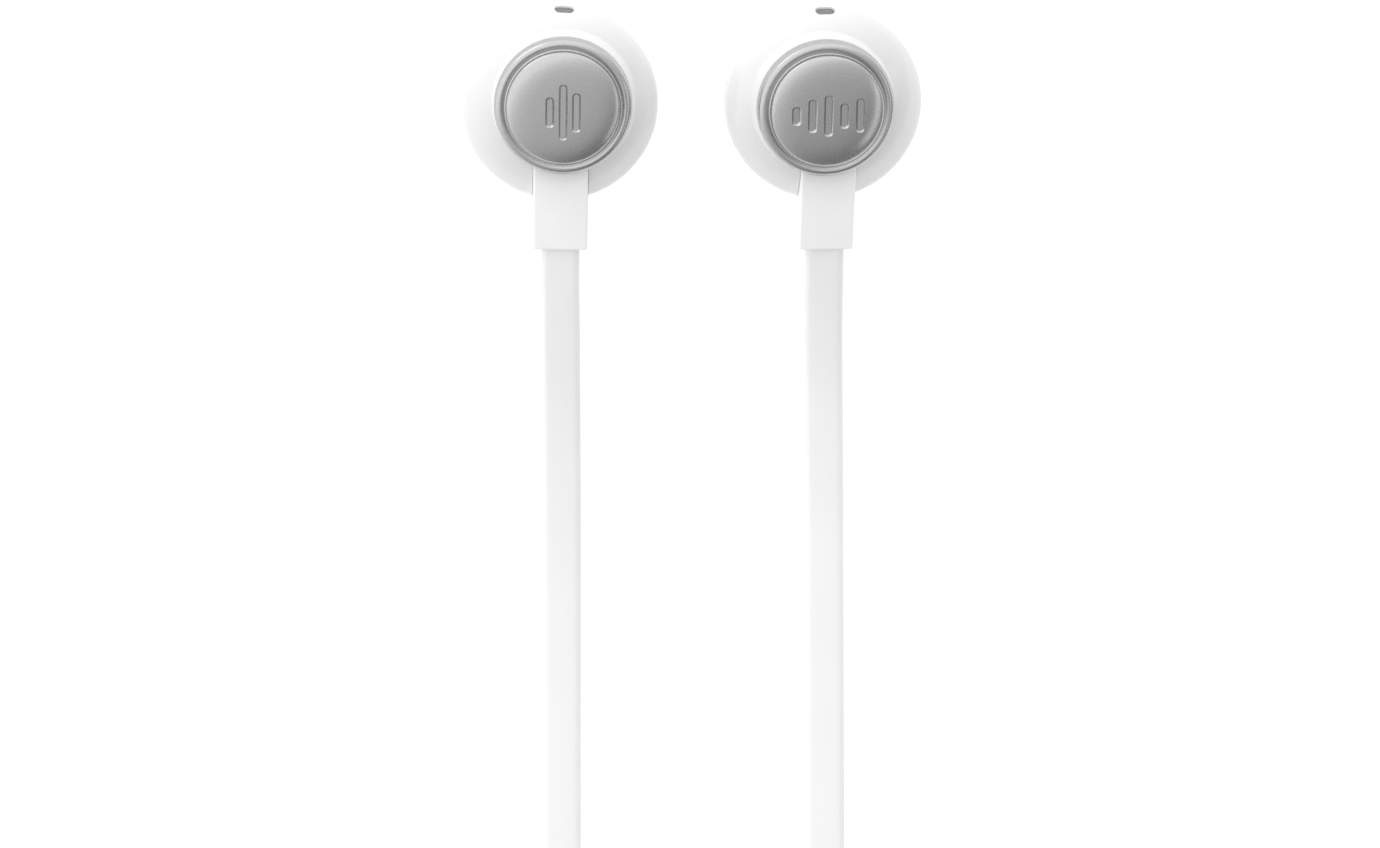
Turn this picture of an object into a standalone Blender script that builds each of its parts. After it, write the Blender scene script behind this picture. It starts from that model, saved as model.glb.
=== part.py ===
"""Cable neckband earphones, laid flat with the sound outlets down and the rear caps up.

Two open-fit ear buds hang on flat leads. The right lead ends in the control capsule, the left
one in the battery capsule, and a coiled flat neck lead joins the capsules. +X is the wearer's
right as seen here, +Y points from the capsules to the buds, and z = 0 is the resting surface.
The sizes below are millimetres and degrees; the helpers turn them into metres and radians.
"""
import math

import bmesh
import bpy
from mathutils import Euler, Matrix, Vector

MM = 0.001
WELD = 0.000002
GAP = 0.3

# Layout on the resting surface
BUD_X = {"left": -11.42, "right": 11.49}
BUD_Y = 87.15
CAPSULE_X = 11.6
CAPSULE_Y = -70.3
BUD_TILT = {"left": 12.5, "right": 15.5}
BUD_LEAN = {"left": 0.8, "right": 7.0}
BUD_YAW = {"left": -0.55, "right": 0.9}

# Ear bud, along its own axis: rear +Z, sound outlet -Z, cable towards -Y
DOME_R = 8.6
DOME_REAR = 3.9
DOME_WALL = 0.9
DOME_OPEN_R = 3.5
SEAM_Z = -0.35
COLLAR_CENTRE = {"left": (0.34, 0.45), "right": (-0.34, 0.45)}
COLLAR_TOP = 3.3
COLLAR_BORE_R = 5.6
COLLAR_FLARE = [(5.92, COLLAR_TOP), (6.08, 3.15), (6.3, 2.6), (6.6, 1.8)]
CAP_BASE = COLLAR_TOP + GAP
CAP_R = 5.98
CAP_CHAMFER = 0.12
CAP_CROWN = 6.1
CAP_DISC_R = 4.93
CAP_DISC_DROP = 0.5
CAP_DISC_EDGE = (5.45, 5.15)
CAP_RIM_R = 5.0
CAP_RIM_LOW = 3.95
CAP_RIM_RISE = 1.2
CAP_LIP = (4.6, 5.3, 3.05)
CAP_CEILING = [(4.6, 4.5), (4.2, 4.9), (0.0, 4.9)]
VENT_X = {"left": 0.37, "right": -0.14}
VENT_Z = 0.87
VENT_SLOT = (1.7, 0.9)
VENT_SLOT_RUN = (6.8, 9.4)
VENT_MESH = (1.4, 0.6)
VENT_MESH_RUN = (7.75, 8.05)
SHELL_STEPS = 28
INNER_STEPS = 18
COIL_STEPS = 48

# Front shell: (radius, height) outside, from the seam to the outlet's lip, and inside, back up
FRONT_OUTSIDE = [(8.6, SEAM_Z - GAP), (8.6, -1.2), (8.42, -2.2), (8.0, -3.3), (7.2, -4.4),
                 (6.1, -5.3), (4.9, -6.0), (3.95, -6.6), (3.5, -7.1), (3.25, -7.4)]
FRONT_INSIDE = [(2.95, -7.4), (2.95, -5.9), (4.3, -5.2), (5.5, -4.6), (5.6, -4.25),
                (6.5, -4.25), (6.6, -2.6), (7.4, -1.6), (7.7, SEAM_Z - GAP)]
OUTLET_START = 3.5
OUTLET_DEPTH = 3.9
OUTLET_SQUASH = 0.18
OUTLET_SHIFT = 0.7
GRILLE_R = 2.65
GRILLE_RUN = (-7.05, -6.7)
GRILLE_HOLE_R = 0.42
GRILLE_RING = (1.5, 6)

# Driver: (radius, height) sections of its three pieces
DRIVER_FRAME = [(6.2, -2.6), (6.2, -3.95), (5.7, -3.95), (5.7, -2.9), (5.2, -2.4),
                (3.45, -1.9), (3.45, -1.1), (3.9, -1.1), (3.9, -1.55), (5.4, -1.9)]
DRIVER_MAGNET = [(0.0, -0.9), (3.0, -0.9), (3.15, -1.05), (3.15, -3.0), (2.75, -3.0),
                 (2.75, -1.6), (1.95, -1.6), (1.95, -3.1), (0.0, -3.1)]
DIAPHRAGM = [(0.0, -3.72), (1.2, -3.66), (2.2, -3.45), (2.2, -2.1), (2.5, -2.1),
             (2.5, -3.45), (3.6, -3.74), (5.3, -3.55), (5.3, -3.8), (3.6, -4.0),
             (2.35, -3.72), (1.2, -3.93), (0.0, -4.0)]
DIAPHRAGM_CENTRE = (0.0, 0.0, -3.7)

# Strain relief, a straight soft block whose axis slopes a little against the bud
RELIEF_X = {"left": 0.20, "right": 0.18}
RELIEF_WIDTH = 4.8
RELIEF_THICK = 2.5
RELIEF_START = (-2.9, 2.19)
RELIEF_END = (-12.6, 1.356)
RELIEF_EDGE = 0.7
RELIEF_FLANGE = (5.6, 0.9, 2.3)
RELIEF_TAPER = (0.99, 0.8)

# Flat cable: 3.4 wide and 1.2 thick
CABLE_WIDTH = 3.4
CABLE_THICK = 1.2
CABLE_STEP = 8.0
LYING = math.pi / 2
ON_EDGE = 0.0

# Capsules
CAPSULE_WIDTH = 10.0
CAPSULE_LENGTH = 46.0
CAPSULE_HEIGHT = 6.0
CAPSULE_CORNER = 3.2
CAPSULE_WALL = 0.8
CAPSULE_SPLIT = CAPSULE_HEIGHT / 2
CAPSULE_EDGE = 1.0
OUTLINE_EDGES = 60.0
GROMMET_WIDTH = 4.6
GROMMET_THICK = 2.6
GROMMET_OUT = 2.5
GROMMET_IN = 2.2
GROMMET_TAPER = (0.88, 0.8)
GROMMET_EDGE = 0.6
GROMMET_FLANGE = (5.8, 0.8, 3.8)

# Controls on the right capsule
BUTTON_TRAVEL = 0.25
BUTTON_PITCH = 9.4
BUTTON_CENTRE_Y = 4.2
BUTTON_SIZE = (5.4, 7.4)
BUTTON_CORNER = 2.2
BUTTON_EDGE = 0.35
BUTTON_FLANGE = 0.5
BUTTON_FLANGE_THICK = 0.4
BUTTON_STEM_R = 0.9
BUTTON_PROUD = 0.45
OVERLAP = 0.1
BOARD_TOP = 2.4
BOARD_THICK = 0.8
BOARD_WIDTH = 7.8
BOARD_CORNER = 1.5
CONTROL_BOARD_LENGTH = 40.0
PROTECTION_BOARD = (9.0, 14.2)
REST_GAP = 0.2
SWITCH_SIZE = (3.0, 3.0, 1.0)
MICROPHONE_PLACE = (2.0, 19.2)
MICROPHONE_SIZE = (2.2, 1.6, 1.0)
MICROPHONE_HOLE_R = 0.5
LIGHT_PLACE = (-2.0, 19.2)
LIGHT_R = 0.6
LIGHT_PIPE = [(0.0, CAPSULE_HEIGHT), (0.45, CAPSULE_HEIGHT), (LIGHT_R, 5.85), (LIGHT_R, 4.9),
              (0.95, 4.9), (0.95, 4.4), (0.0, 4.4)]
SOCKET_Y = -14.2
SOCKET_WIDTH = 8.9
SOCKET_HEIGHT = 3.2
SOCKET_DEPTH = 6.6
SOCKET_CORNER = 1.5
SOCKET_WALL = 0.3
SOCKET_BACK = 0.8
SOCKET_INSET = 1.35
SOCKET_TONGUE = (0.7, 6.7, 5.4)
SOCKET_X = CAPSULE_WIDTH / 2 - SOCKET_INSET - SOCKET_DEPTH / 2
COVER_WIDTH = 10.4
COVER_HEIGHT = 3.7
COVER_THICK = 0.8
COVER_EDGE = 0.25
PORT_CUT = 2.0

# Battery capsule's cell: outline (width, length, corner), heights, edge and place
CELL_OUTLINE = (7.4, 27.0, 1.2)
CELL_RUN = (1.1, 4.9)
CELL_EDGE = 0.5
CELL_Y = -4.6

# Coil of the neck lead, flat cable standing on edge
COIL_INNER_R = 14.2
COIL_OUTER_R = 20.2
COIL_Y = -121.9
CLIP_WIDTH = 7.0
CLIP_WALL = 0.8
CLIP_SLACK = 0.4
CLIP_EDGE = 0.5

# Route points chosen along each free cable, with the section's turn about the route
CABLE_ROUTES = {
    "left_lead": [
        ((-11.365, 74.27, 6.155), LYING), ((-11.37, 71.1, 5.16), LYING),
        ((-11.34, 66.4, 3.66), LYING), ((-11.31, 60.6, 2.07), LYING),
        ((-11.30, 53.5, 1.00), LYING), ((-11.30, 45.0, 0.66), LYING),
        ((-11.30, 30.0, 0.63), LYING), ((-11.30, 14.0, 0.63), LYING),
        ((-11.35, -4.0, 0.63), LYING), ((-11.45, -20.0, 0.63), LYING),
        ((-11.55, -31.0, 0.70), LYING), ((-11.6, -37.5, 1.40), LYING),
        ((-11.6, -41.5, 2.45), LYING), ((-11.6, -44.5, 2.95), LYING)],
    "right_lead": [
        ((11.606, 74.365, 5.53), LYING), ((11.56, 71.2, 4.36), LYING),
        ((11.54, 66.8, 2.90), LYING), ((11.58, 61.2, 1.54), LYING),
        ((11.62, 54.0, 0.80), LYING), ((11.66, 46.0, 0.65), LYING),
        ((11.70, 32.0, 0.63), LYING), ((11.73, 20.0, 0.63), LYING),
        ((11.72, 4.0, 0.63), LYING), ((11.70, -14.0, 0.63), LYING),
        ((11.65, -30.0, 0.70), LYING), ((11.62, -37.0, 1.40), LYING),
        ((11.6, -41.5, 2.45), LYING), ((11.6, -44.5, 2.95), LYING)],
    "neck_lead_right": [
        ((11.6, -96.1, 2.95), LYING), ((11.75, -98.6, 2.60), LYING),
        ((13.4, -102.6, 2.00), 0.60 * LYING), ((16.6, -107.0, 1.80), 0.25 * LYING),
        ((19.2, -111.6, 1.76), ON_EDGE), ((20.7, -116.2, 1.74), ON_EDGE)],
    "neck_lead_left": [
        ((-14.55, -120.0, 4.32), LYING), ((-14.45, -114.0, 4.40), LYING),
        ((-13.9, -108.5, 4.35), LYING), ((-12.8, -103.2, 3.90), LYING),
        ((-11.9, -99.2, 3.25), LYING), ((-11.6, -96.1, 3.00), LYING)],
}

COLOURS = {
    "gloss_white": ((0.90, 0.90, 0.90), 0.12, 0.0),
    "soft_white": ((0.84, 0.84, 0.84), 0.55, 0.0),
    "cable_white": ((0.82, 0.82, 0.82), 0.50, 0.0),
    "satin_silver": ((0.52, 0.52, 0.53), 0.32, 1.0),
    "steel_mesh": ((0.30, 0.30, 0.31), 0.45, 1.0),
    "driver_steel": ((0.55, 0.55, 0.56), 0.35, 1.0),
    "diaphragm_film": ((0.75, 0.72, 0.66), 0.30, 0.0),
    "black_plastic": ((0.03, 0.03, 0.03), 0.50, 0.0),
    "board_green": ((0.03, 0.20, 0.08), 0.45, 0.0),
    "cell_foil": ((0.60, 0.61, 0.63), 0.40, 0.6),
    "clear_plastic": ((0.85, 0.88, 0.90), 0.10, 0.0),
}


def clear_objects():
    """Remove everything that the file opened with."""
    for item in list(bpy.data.objects):
        bpy.data.objects.remove(item, do_unlink=True)


def make_collection(name):
    """A new collection under the scene."""
    made = bpy.data.collections.new(name)
    bpy.context.scene.collection.children.link(made)
    return made


def make_material(name, colour, roughness, metallic):
    """A Principled material with a plain finish."""
    made = bpy.data.materials.new(name)
    made.use_nodes = True
    shader = made.node_tree.nodes["Principled BSDF"]
    shader.inputs["Base Color"].default_value = (*colour, 1.0)
    shader.inputs["Roughness"].default_value = roughness
    shader.inputs["Metallic"].default_value = metallic
    made.diffuse_color = (*colour, 1.0)
    return made


def scratch(data):
    """A working object that carries unfinished mesh or curve data."""
    made = bpy.data.objects.new("working_shape", data)
    bpy.context.scene.collection.objects.link(made)
    return made


def finish_mesh(item):
    """Evaluate a working object, weld it, face it outwards and remove the object."""
    bpy.context.view_layer.update()
    evaluated = item.evaluated_get(bpy.context.evaluated_depsgraph_get())
    mesh = bpy.data.meshes.new_from_object(evaluated)
    mesh.transform(item.matrix_world)
    work = bmesh.new()
    work.from_mesh(mesh)
    bmesh.ops.remove_doubles(work, verts=work.verts, dist=WELD)
    bmesh.ops.recalc_face_normals(work, faces=work.faces)
    work.to_mesh(mesh)
    work.free()
    bpy.data.objects.remove(item, do_unlink=True)
    return mesh


def turned(profile, steps):
    """Turn a profile of (radius, height) points about Z; a closed ring unless it meets the axis."""
    work = bmesh.new()
    corners = [work.verts.new((r * MM, 0.0, z * MM)) for r, z in profile]
    for first, second in zip(corners, corners[1:]):
        work.edges.new((first, second))
    if profile[0][0] > 0.0:
        work.edges.new((corners[-1], corners[0]))
    mesh = bpy.data.meshes.new("profile")
    work.to_mesh(mesh)
    work.free()
    item = scratch(mesh)
    screw = item.modifiers.new("turn", "SCREW")
    screw.steps = steps
    screw.render_steps = steps
    screw.use_merge_vertices = True
    screw.merge_threshold = WELD
    return finish_mesh(item)


def rounded_outline(width, length, radius, arc_steps=4):
    """Corner points of a rounded rectangle, centred, counter-clockwise."""
    points = []
    for quarter, (sx, sy) in enumerate(((1, 1), (-1, 1), (-1, -1), (1, -1))):
        for step in range(arc_steps + 1):
            angle = (quarter + step / arc_steps) * math.pi / 2
            x = sx * (width / 2 - radius) + radius * math.cos(angle)
            y = sy * (length / 2 - radius) + radius * math.sin(angle)
            points.append((x, y))
    return points


def plate(outline, low, high):
    """A flat outline filled and extruded from one height to another."""
    curve = bpy.data.curves.new("outline", "CURVE")
    curve.dimensions = "2D"
    curve.fill_mode = "BOTH"
    curve.extrude = (high - low) / 2 * MM
    spline = curve.splines.new("POLY")
    spline.points.add(len(outline) - 1)
    for point, (x, y) in zip(spline.points, outline):
        point.co = (x * MM, y * MM, 0.0, 1.0)
    spline.use_cyclic_u = True
    item = scratch(curve)
    item.location.z = (high + low) / 2 * MM
    return finish_mesh(item)


def block(width, length, height, centre=(0.0, 0.0, 0.0)):
    """A box as a mesh, centred where it is told."""
    work = bmesh.new()
    size = Matrix.Diagonal((width * MM, length * MM, height * MM, 1.0))
    bmesh.ops.create_cube(work, size=1.0, matrix=Matrix.Translation(Vector(centre) * MM) @ size)
    mesh = bpy.data.meshes.new("block")
    work.to_mesh(mesh)
    work.free()
    return mesh


def rod(radius, low, high, centre=(0.0, 0.0), segments=INNER_STEPS):
    """A cylinder along Z as a mesh."""
    work = bmesh.new()
    place = Matrix.Translation((centre[0] * MM, centre[1] * MM, (low + high) / 2 * MM))
    bmesh.ops.create_cone(work, cap_ends=True, segments=segments, radius1=radius * MM,
                          radius2=radius * MM, depth=(high - low) * MM, matrix=place)
    mesh = bpy.data.meshes.new("rod")
    work.to_mesh(mesh)
    work.free()
    return mesh


def combined(mesh, other, operation):
    """Cut, join or intersect a mesh with another."""
    tool = scratch(other)
    item = scratch(mesh)
    boolean = item.modifiers.new("combine", "BOOLEAN")
    boolean.operation = operation
    boolean.solver = "EXACT"
    boolean.object = tool
    result = finish_mesh(item)
    bpy.data.objects.remove(tool, do_unlink=True)
    return result


def cut(mesh, *tools):
    """Take each tool's shape away from a mesh."""
    for tool in tools:
        mesh = combined(mesh, tool, "DIFFERENCE")
    return mesh


def joined(mesh, *others):
    """Add each other mesh to a mesh, as one body."""
    for other in others:
        mesh = combined(mesh, other, "UNION")
    return mesh


def softened(mesh, width, segments=2, angle=40.0):
    """Round a mesh's sharp edges."""
    item = scratch(mesh)
    bevel = item.modifiers.new("edges", "BEVEL")
    bevel.width = width * MM
    bevel.segments = segments
    bevel.limit_method = "ANGLE"
    bevel.angle_limit = math.radians(angle)
    return finish_mesh(item)


def placed(mesh, matrix):
    """Move a mesh by a matrix whose translation is in millimetres."""
    metres = matrix.copy()
    metres.translation = matrix.translation * MM
    mesh.transform(metres)
    return mesh


def add_part(name, mesh, slot, parent=None, centre=None):
    """Add a finished sub-part, its origin at a point of its own if one is given."""
    part = bpy.data.objects.new(name, mesh.copy())
    parts.objects.link(part)
    part.data.name = name
    part.data.materials.clear()
    part.data.materials.append(materials[slot])
    part.data.shade_smooth()
    part.data.set_sharp_from_angle(angle=math.radians(35.0))
    part.parent = parent
    if centre is not None:
        part.data.transform(Matrix.Translation(-Vector(centre) * MM))
        part.location = Vector(centre) * MM
    return part


def add_frame(name, location, rotation=(0.0, 0.0, 0.0)):
    """An empty that carries a group of sub-parts."""
    empty = bpy.data.objects.new(name, None)
    parts.objects.link(empty)
    empty.location = Vector(location) * MM
    empty.rotation_euler = rotation
    return empty


# ---------------------------------------------------------------- ear bud

def dome_arc(radius, height, first_r, steps):
    """Points down an elliptical dome, evenly by angle, ending at its widest ring."""
    first = math.acos(first_r / radius)
    turns = [first * (1.0 - step / steps) for step in range(steps + 1)]
    return [(radius * math.cos(a), height * math.sin(a)) for a in turns]


def collar_matrix(side):
    """The cap and collar sit off the dome's axis, away from the cable and inwards."""
    return Matrix.Translation((*COLLAR_CENTRE[side], 0.0))


def relief_matrix(side):
    """Frame of the strain relief: its -Y runs out along the cable."""
    slope = math.atan2(RELIEF_START[1] - RELIEF_END[1], RELIEF_START[0] - RELIEF_END[0])
    place = Matrix.Translation((RELIEF_X[side], *RELIEF_START))
    return place @ Matrix.Rotation(slope, 4, "X")


def relief_length():
    """Length of the strain relief along its axis."""
    return math.dist(RELIEF_START, RELIEF_END)


def rear_cap_mesh(side):
    """Turned cap: pillow disc, valley, rounded rim, and a lip that enters the collar."""
    pillow = []
    for r in (0.0, 1.7, 3.3, 4.7):
        pillow.append((r, CAP_CROWN - CAP_DISC_DROP * (r / CAP_DISC_R) ** 2))
    rim = []
    for turn in (80.0, 55.0, 28.0, 0.0):
        angle = math.radians(turn)
        rim.append((CAP_RIM_R + (CAP_R - CAP_RIM_R) * math.cos(angle),
                    CAP_RIM_LOW + CAP_RIM_RISE * math.sin(angle)))
    lip_in, lip_out, lip_low = CAP_LIP
    profile = pillow + [(CAP_DISC_R, height) for height in CAP_DISC_EDGE] + rim
    profile += [(CAP_R, CAP_BASE + CAP_CHAMFER), (CAP_R - CAP_CHAMFER, CAP_BASE),
                (lip_out, CAP_BASE), (lip_out, lip_low), (lip_in, lip_low)]
    cap = turned(profile + CAP_CEILING, SHELL_STEPS)
    notch_low = lip_low - CAP_CHAMFER
    notch_high = CAP_BASE + WELD / MM
    notch = block(RELIEF_FLANGE[0] + 2 * GAP, CAP_R, notch_high - notch_low,
                  (RELIEF_X[side] - COLLAR_CENTRE[side][0], -CAP_R,
                   (notch_high + notch_low) / 2))
    return placed(cut(cap, notch), collar_matrix(side))


def rear_shell_mesh(side):
    """Dome wall with the collar on it, the slot for the strain relief and the vent slot."""
    outer = dome_arc(DOME_R, DOME_REAR, DOME_OPEN_R, 7)
    inner = dome_arc(DOME_R - DOME_WALL, DOME_REAR - DOME_WALL, DOME_OPEN_R, 5)
    shell = turned(outer + [(DOME_R, SEAM_Z), (DOME_R - DOME_WALL, SEAM_Z)] + inner[::-1],
                   SHELL_STEPS)
    inside_r = COLLAR_BORE_R - GAP
    flare_low = COLLAR_FLARE[-1][1]
    collar = turned([(inside_r, COLLAR_TOP)] + COLLAR_FLARE + [(inside_r, flare_low)],
                    SHELL_STEPS)
    shell = joined(shell, placed(collar, collar_matrix(side)))
    bore = rod(COLLAR_BORE_R, SEAM_Z - 1.0, COLLAR_TOP + 1.0, COLLAR_CENTRE[side], SHELL_STEPS)
    slot_low = -RELIEF_THICK / 2 - GAP
    slot = block(RELIEF_WIDTH + 2 * GAP, 2 * COLLAR_BORE_R, DOME_REAR - slot_low,
                 (0.0, -COLLAR_BORE_R, (DOME_REAR + slot_low) / 2))
    return cut(shell, bore, placed(slot, relief_matrix(side)),
               vent_plate(side, VENT_SLOT, VENT_SLOT_RUN))


def vent_plate(side, size, run):
    """A stadium plate that runs out through the dome at the vent."""
    outline = rounded_outline(*size, size[1] / 2 - 0.01)
    place = Matrix.Translation((VENT_X[side], 0.0, VENT_Z))
    return placed(plate(outline, *run), place @ Matrix.Rotation(-math.pi / 2, 4, "X"))


def shape_outlet(mesh):
    """Squash and shift the front towards the oval sound outlet."""
    for vert in mesh.vertices:
        depth = min(1.0, max(0.0, (-vert.co.z / MM - OUTLET_START) / OUTLET_DEPTH))
        blend = depth * depth * (3.0 - 2.0 * depth)
        vert.co.y = vert.co.y * (1.0 - OUTLET_SQUASH * blend) + OUTLET_SHIFT * blend * MM
    return mesh


def front_shell_mesh():
    """Bowl that faces the ear, with the driver's seat inside and the oval outlet below."""
    return shape_outlet(turned(FRONT_OUTSIDE + FRONT_INSIDE, SHELL_STEPS))


def front_grille_mesh():
    """Perforated disc across the outlet."""
    low, high = GRILLE_RUN
    disc = rod(GRILLE_R, low, high)
    ring_r, ring_count = GRILLE_RING
    centres = [(0.0, 0.0)]
    for step in range(ring_count):
        angle = math.tau * step / ring_count
        centres.append((ring_r * math.cos(angle), ring_r * math.sin(angle)))
    holes = [rod(GRILLE_HOLE_R, low - 0.5, high + 0.5, centre, 8) for centre in centres]
    return shape_outlet(cut(disc, *holes))


def strain_relief_mesh(side):
    """Soft block with rounded edges, thinner at the cable end, and a flange inside the bud."""
    length = relief_length()
    body = block(RELIEF_WIDTH, length, RELIEF_THICK, (0.0, -length / 2, 0.0))
    for vert in body.vertices:
        if vert.co.y < -length / 2 * MM:
            vert.co.x *= RELIEF_TAPER[0]
            vert.co.z *= RELIEF_TAPER[1]
    body = softened(body, RELIEF_EDGE, 3)
    flange_middle = (0.0, -RELIEF_FLANGE[1] / 2 - 0.05, 0.0)
    return placed(joined(body, block(*RELIEF_FLANGE, flange_middle)), relief_matrix(side))


def bud_shapes(side):
    """Mesh and material slot of every piece in one bud."""
    return {
        "rear_cap": (rear_cap_mesh(side), "satin_silver"),
        "rear_shell": (rear_shell_mesh(side), "gloss_white"),
        "front_shell": (front_shell_mesh(), "gloss_white"),
        "front_grille": (front_grille_mesh(), "steel_mesh"),
        "vent_mesh": (vent_plate(side, VENT_MESH, VENT_MESH_RUN), "steel_mesh"),
        "driver_frame": (turned(DRIVER_FRAME, INNER_STEPS), "black_plastic"),
        "driver_magnet": (turned(DRIVER_MAGNET, INNER_STEPS), "driver_steel"),
        "diaphragm": (turned(DIAPHRAGM, INNER_STEPS), "diaphragm_film"),
        "strain_relief": (strain_relief_mesh(side), "soft_white"),
    }


def build_bud(side):
    """One ear bud on its own frame, lowered until its front touches the resting surface."""
    shapes = bud_shapes(side)
    turn = Euler([math.radians(angle[side]) for angle in (BUD_TILT, BUD_LEAN, BUD_YAW)])
    lowest = min((turn.to_matrix() @ vert.co).z for vert in shapes["front_shell"][0].vertices)
    frame = add_frame(f"{side}_bud_frame", (BUD_X[side], BUD_Y, -lowest / MM), turn)
    for piece, (mesh, slot) in shapes.items():
        centre = DIAPHRAGM_CENTRE if piece == "diaphragm" else None
        add_part(f"{side}_{piece}", mesh, slot, frame, centre)


# ---------------------------------------------------------------- capsules

def case_half(upper):
    """Half of a capsule's case: a rounded tray with half of each grommet's opening."""
    outline = rounded_outline(CAPSULE_WIDTH, CAPSULE_LENGTH, CAPSULE_CORNER)
    low, high = (CAPSULE_SPLIT + GAP / 2, CAPSULE_HEIGHT) if upper else (
        0.0, CAPSULE_SPLIT - GAP / 2)
    whole = softened(plate(outline, 0.0, CAPSULE_HEIGHT), CAPSULE_EDGE, 2, OUTLINE_EDGES)
    slab = block(2 * CAPSULE_WIDTH, 2 * CAPSULE_LENGTH, high - low, (0.0, 0.0, (high + low) / 2))
    half = combined(whole, slab, "INTERSECT")
    hollow = plate(rounded_outline(CAPSULE_WIDTH - 2 * CAPSULE_WALL,
                                   CAPSULE_LENGTH - 2 * CAPSULE_WALL,
                                   CAPSULE_CORNER - CAPSULE_WALL),
                   CAPSULE_WALL, CAPSULE_HEIGHT - CAPSULE_WALL)
    ends = block(GROMMET_WIDTH + 2 * GAP, 2 * CAPSULE_LENGTH, GROMMET_THICK + 2 * GAP,
                 (0.0, 0.0, CAPSULE_SPLIT))
    return cut(half, hollow, ends)


def grommet_mesh(end):
    """Cable grommet through one end of a capsule, with a flange inside; end is +1 or -1."""
    wall = end * CAPSULE_LENGTH / 2
    length = GROMMET_OUT + GROMMET_IN
    centre_y = wall + end * (GROMMET_OUT - GROMMET_IN) / 2
    body = block(GROMMET_WIDTH, length, GROMMET_THICK, (0.0, centre_y, CAPSULE_SPLIT))
    tip = (abs(wall) + GROMMET_OUT) * MM
    for vert in body.vertices:
        if abs(abs(vert.co.y) - tip) < WELD:
            vert.co.x *= GROMMET_TAPER[0]
            vert.co.z = (CAPSULE_SPLIT * MM
                         + (vert.co.z - CAPSULE_SPLIT * MM) * GROMMET_TAPER[1])
    body = softened(body, GROMMET_EDGE, 2)
    flange_y = wall - end * (GROMMET_IN - GROMMET_FLANGE[1] / 2 - OVERLAP)
    flange = block(*GROMMET_FLANGE, (0.0, flange_y, CAPSULE_SPLIT))
    return joined(body, flange)


def button_centres():
    """Volume-up, multifunction and volume-down, from the bud's end of the capsule down."""
    names = ("volume_up_button", "multifunction_button", "volume_down_button")
    return {name: BUTTON_CENTRE_Y + (1 - index) * BUTTON_PITCH for index, name in enumerate(names)}


def button_mesh(centre_y):
    """Key top with a retaining flange and a stem that reaches for its switch."""
    top = CAPSULE_HEIGHT + BUTTON_PROUD
    flange_top = CAPSULE_HEIGHT - CAPSULE_WALL - GAP
    flange_low = flange_top - BUTTON_FLANGE_THICK
    stem_low = BOARD_TOP + REST_GAP + SWITCH_SIZE[2] + BUTTON_TRAVEL + OVERLAP / 2
    width, length = BUTTON_SIZE
    key = plate(rounded_outline(width, length, BUTTON_CORNER), flange_low + 1.5 * OVERLAP, top)
    key = softened(key, BUTTON_EDGE, 2, OUTLINE_EDGES)
    flange = plate(rounded_outline(width + 2 * BUTTON_FLANGE, length + 2 * BUTTON_FLANGE,
                                   BUTTON_CORNER + BUTTON_FLANGE), flange_low, flange_top)
    stem = rod(BUTTON_STEM_R, stem_low, flange_low + OVERLAP, segments=16)
    return placed(joined(key, flange, stem), Matrix.Translation((0.0, centre_y, 0.0)))


def control_upper_mesh():
    """Upper case with the key openings, the microphone hole and the light pipe's hole."""
    openings = []
    for centre_y in button_centres().values():
        width, length = BUTTON_SIZE
        hole = plate(rounded_outline(width + 2 * GAP, length + 2 * GAP, BUTTON_CORNER + GAP),
                     CAPSULE_SPLIT + 1.0, CAPSULE_HEIGHT + 1.0)
        openings.append(placed(hole, Matrix.Translation((0.0, centre_y, 0.0))))
    hole_run = (CAPSULE_SPLIT + 1.0, CAPSULE_HEIGHT + 1.0)
    openings.append(rod(MICROPHONE_HOLE_R, *hole_run, MICROPHONE_PLACE, 12))
    openings.append(rod(LIGHT_R + GAP / 2, *hole_run, LIGHT_PLACE, 12))
    openings.append(port_opening())
    return cut(case_half(True), *openings)


def port_opening():
    """Side opening that the port cover fills, on the outer side of the control capsule."""
    return block(PORT_CUT, COVER_WIDTH + 2 * GAP, COVER_HEIGHT + 2 * GAP,
                 (CAPSULE_WIDTH / 2, SOCKET_Y, CAPSULE_SPLIT))


def board_mesh(length, centre_y, socket_notch):
    """Circuit board, notched where the socket sits through it."""
    board = plate(rounded_outline(BOARD_WIDTH, length, BOARD_CORNER, 3),
                  BOARD_TOP - BOARD_THICK, BOARD_TOP)
    board = placed(board, Matrix.Translation((0.0, centre_y, 0.0)))
    if socket_notch:
        notch = block(SOCKET_DEPTH + 2 * GAP, SOCKET_WIDTH + 2 * GAP, 4 * BOARD_THICK,
                      (SOCKET_X, SOCKET_Y, BOARD_TOP))
        board = cut(board, notch)
    return board


def socket_mesh():
    """Charging socket: an oval steel sleeve with a back wall and a tongue, mouth towards +X."""
    outline = rounded_outline(SOCKET_HEIGHT, SOCKET_WIDTH, SOCKET_CORNER, 4)
    bore = rounded_outline(SOCKET_HEIGHT - 2 * SOCKET_WALL, SOCKET_WIDTH - 2 * SOCKET_WALL,
                           SOCKET_CORNER - SOCKET_WALL, 4)
    sleeve = cut(plate(outline, 0.0, SOCKET_DEPTH),
                 plate(bore, SOCKET_BACK, SOCKET_DEPTH + 1.0))
    tongue_z = (SOCKET_BACK + SOCKET_TONGUE[2]) / 2
    tongue = block(*SOCKET_TONGUE, (0.0, 0.0, tongue_z))
    turn = Matrix.Rotation(math.pi / 2, 4, "Y")
    base_x = SOCKET_X - SOCKET_DEPTH / 2
    place = Matrix.Translation((base_x, SOCKET_Y, CAPSULE_SPLIT))
    return placed(joined(sleeve, tongue), place @ turn)


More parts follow.
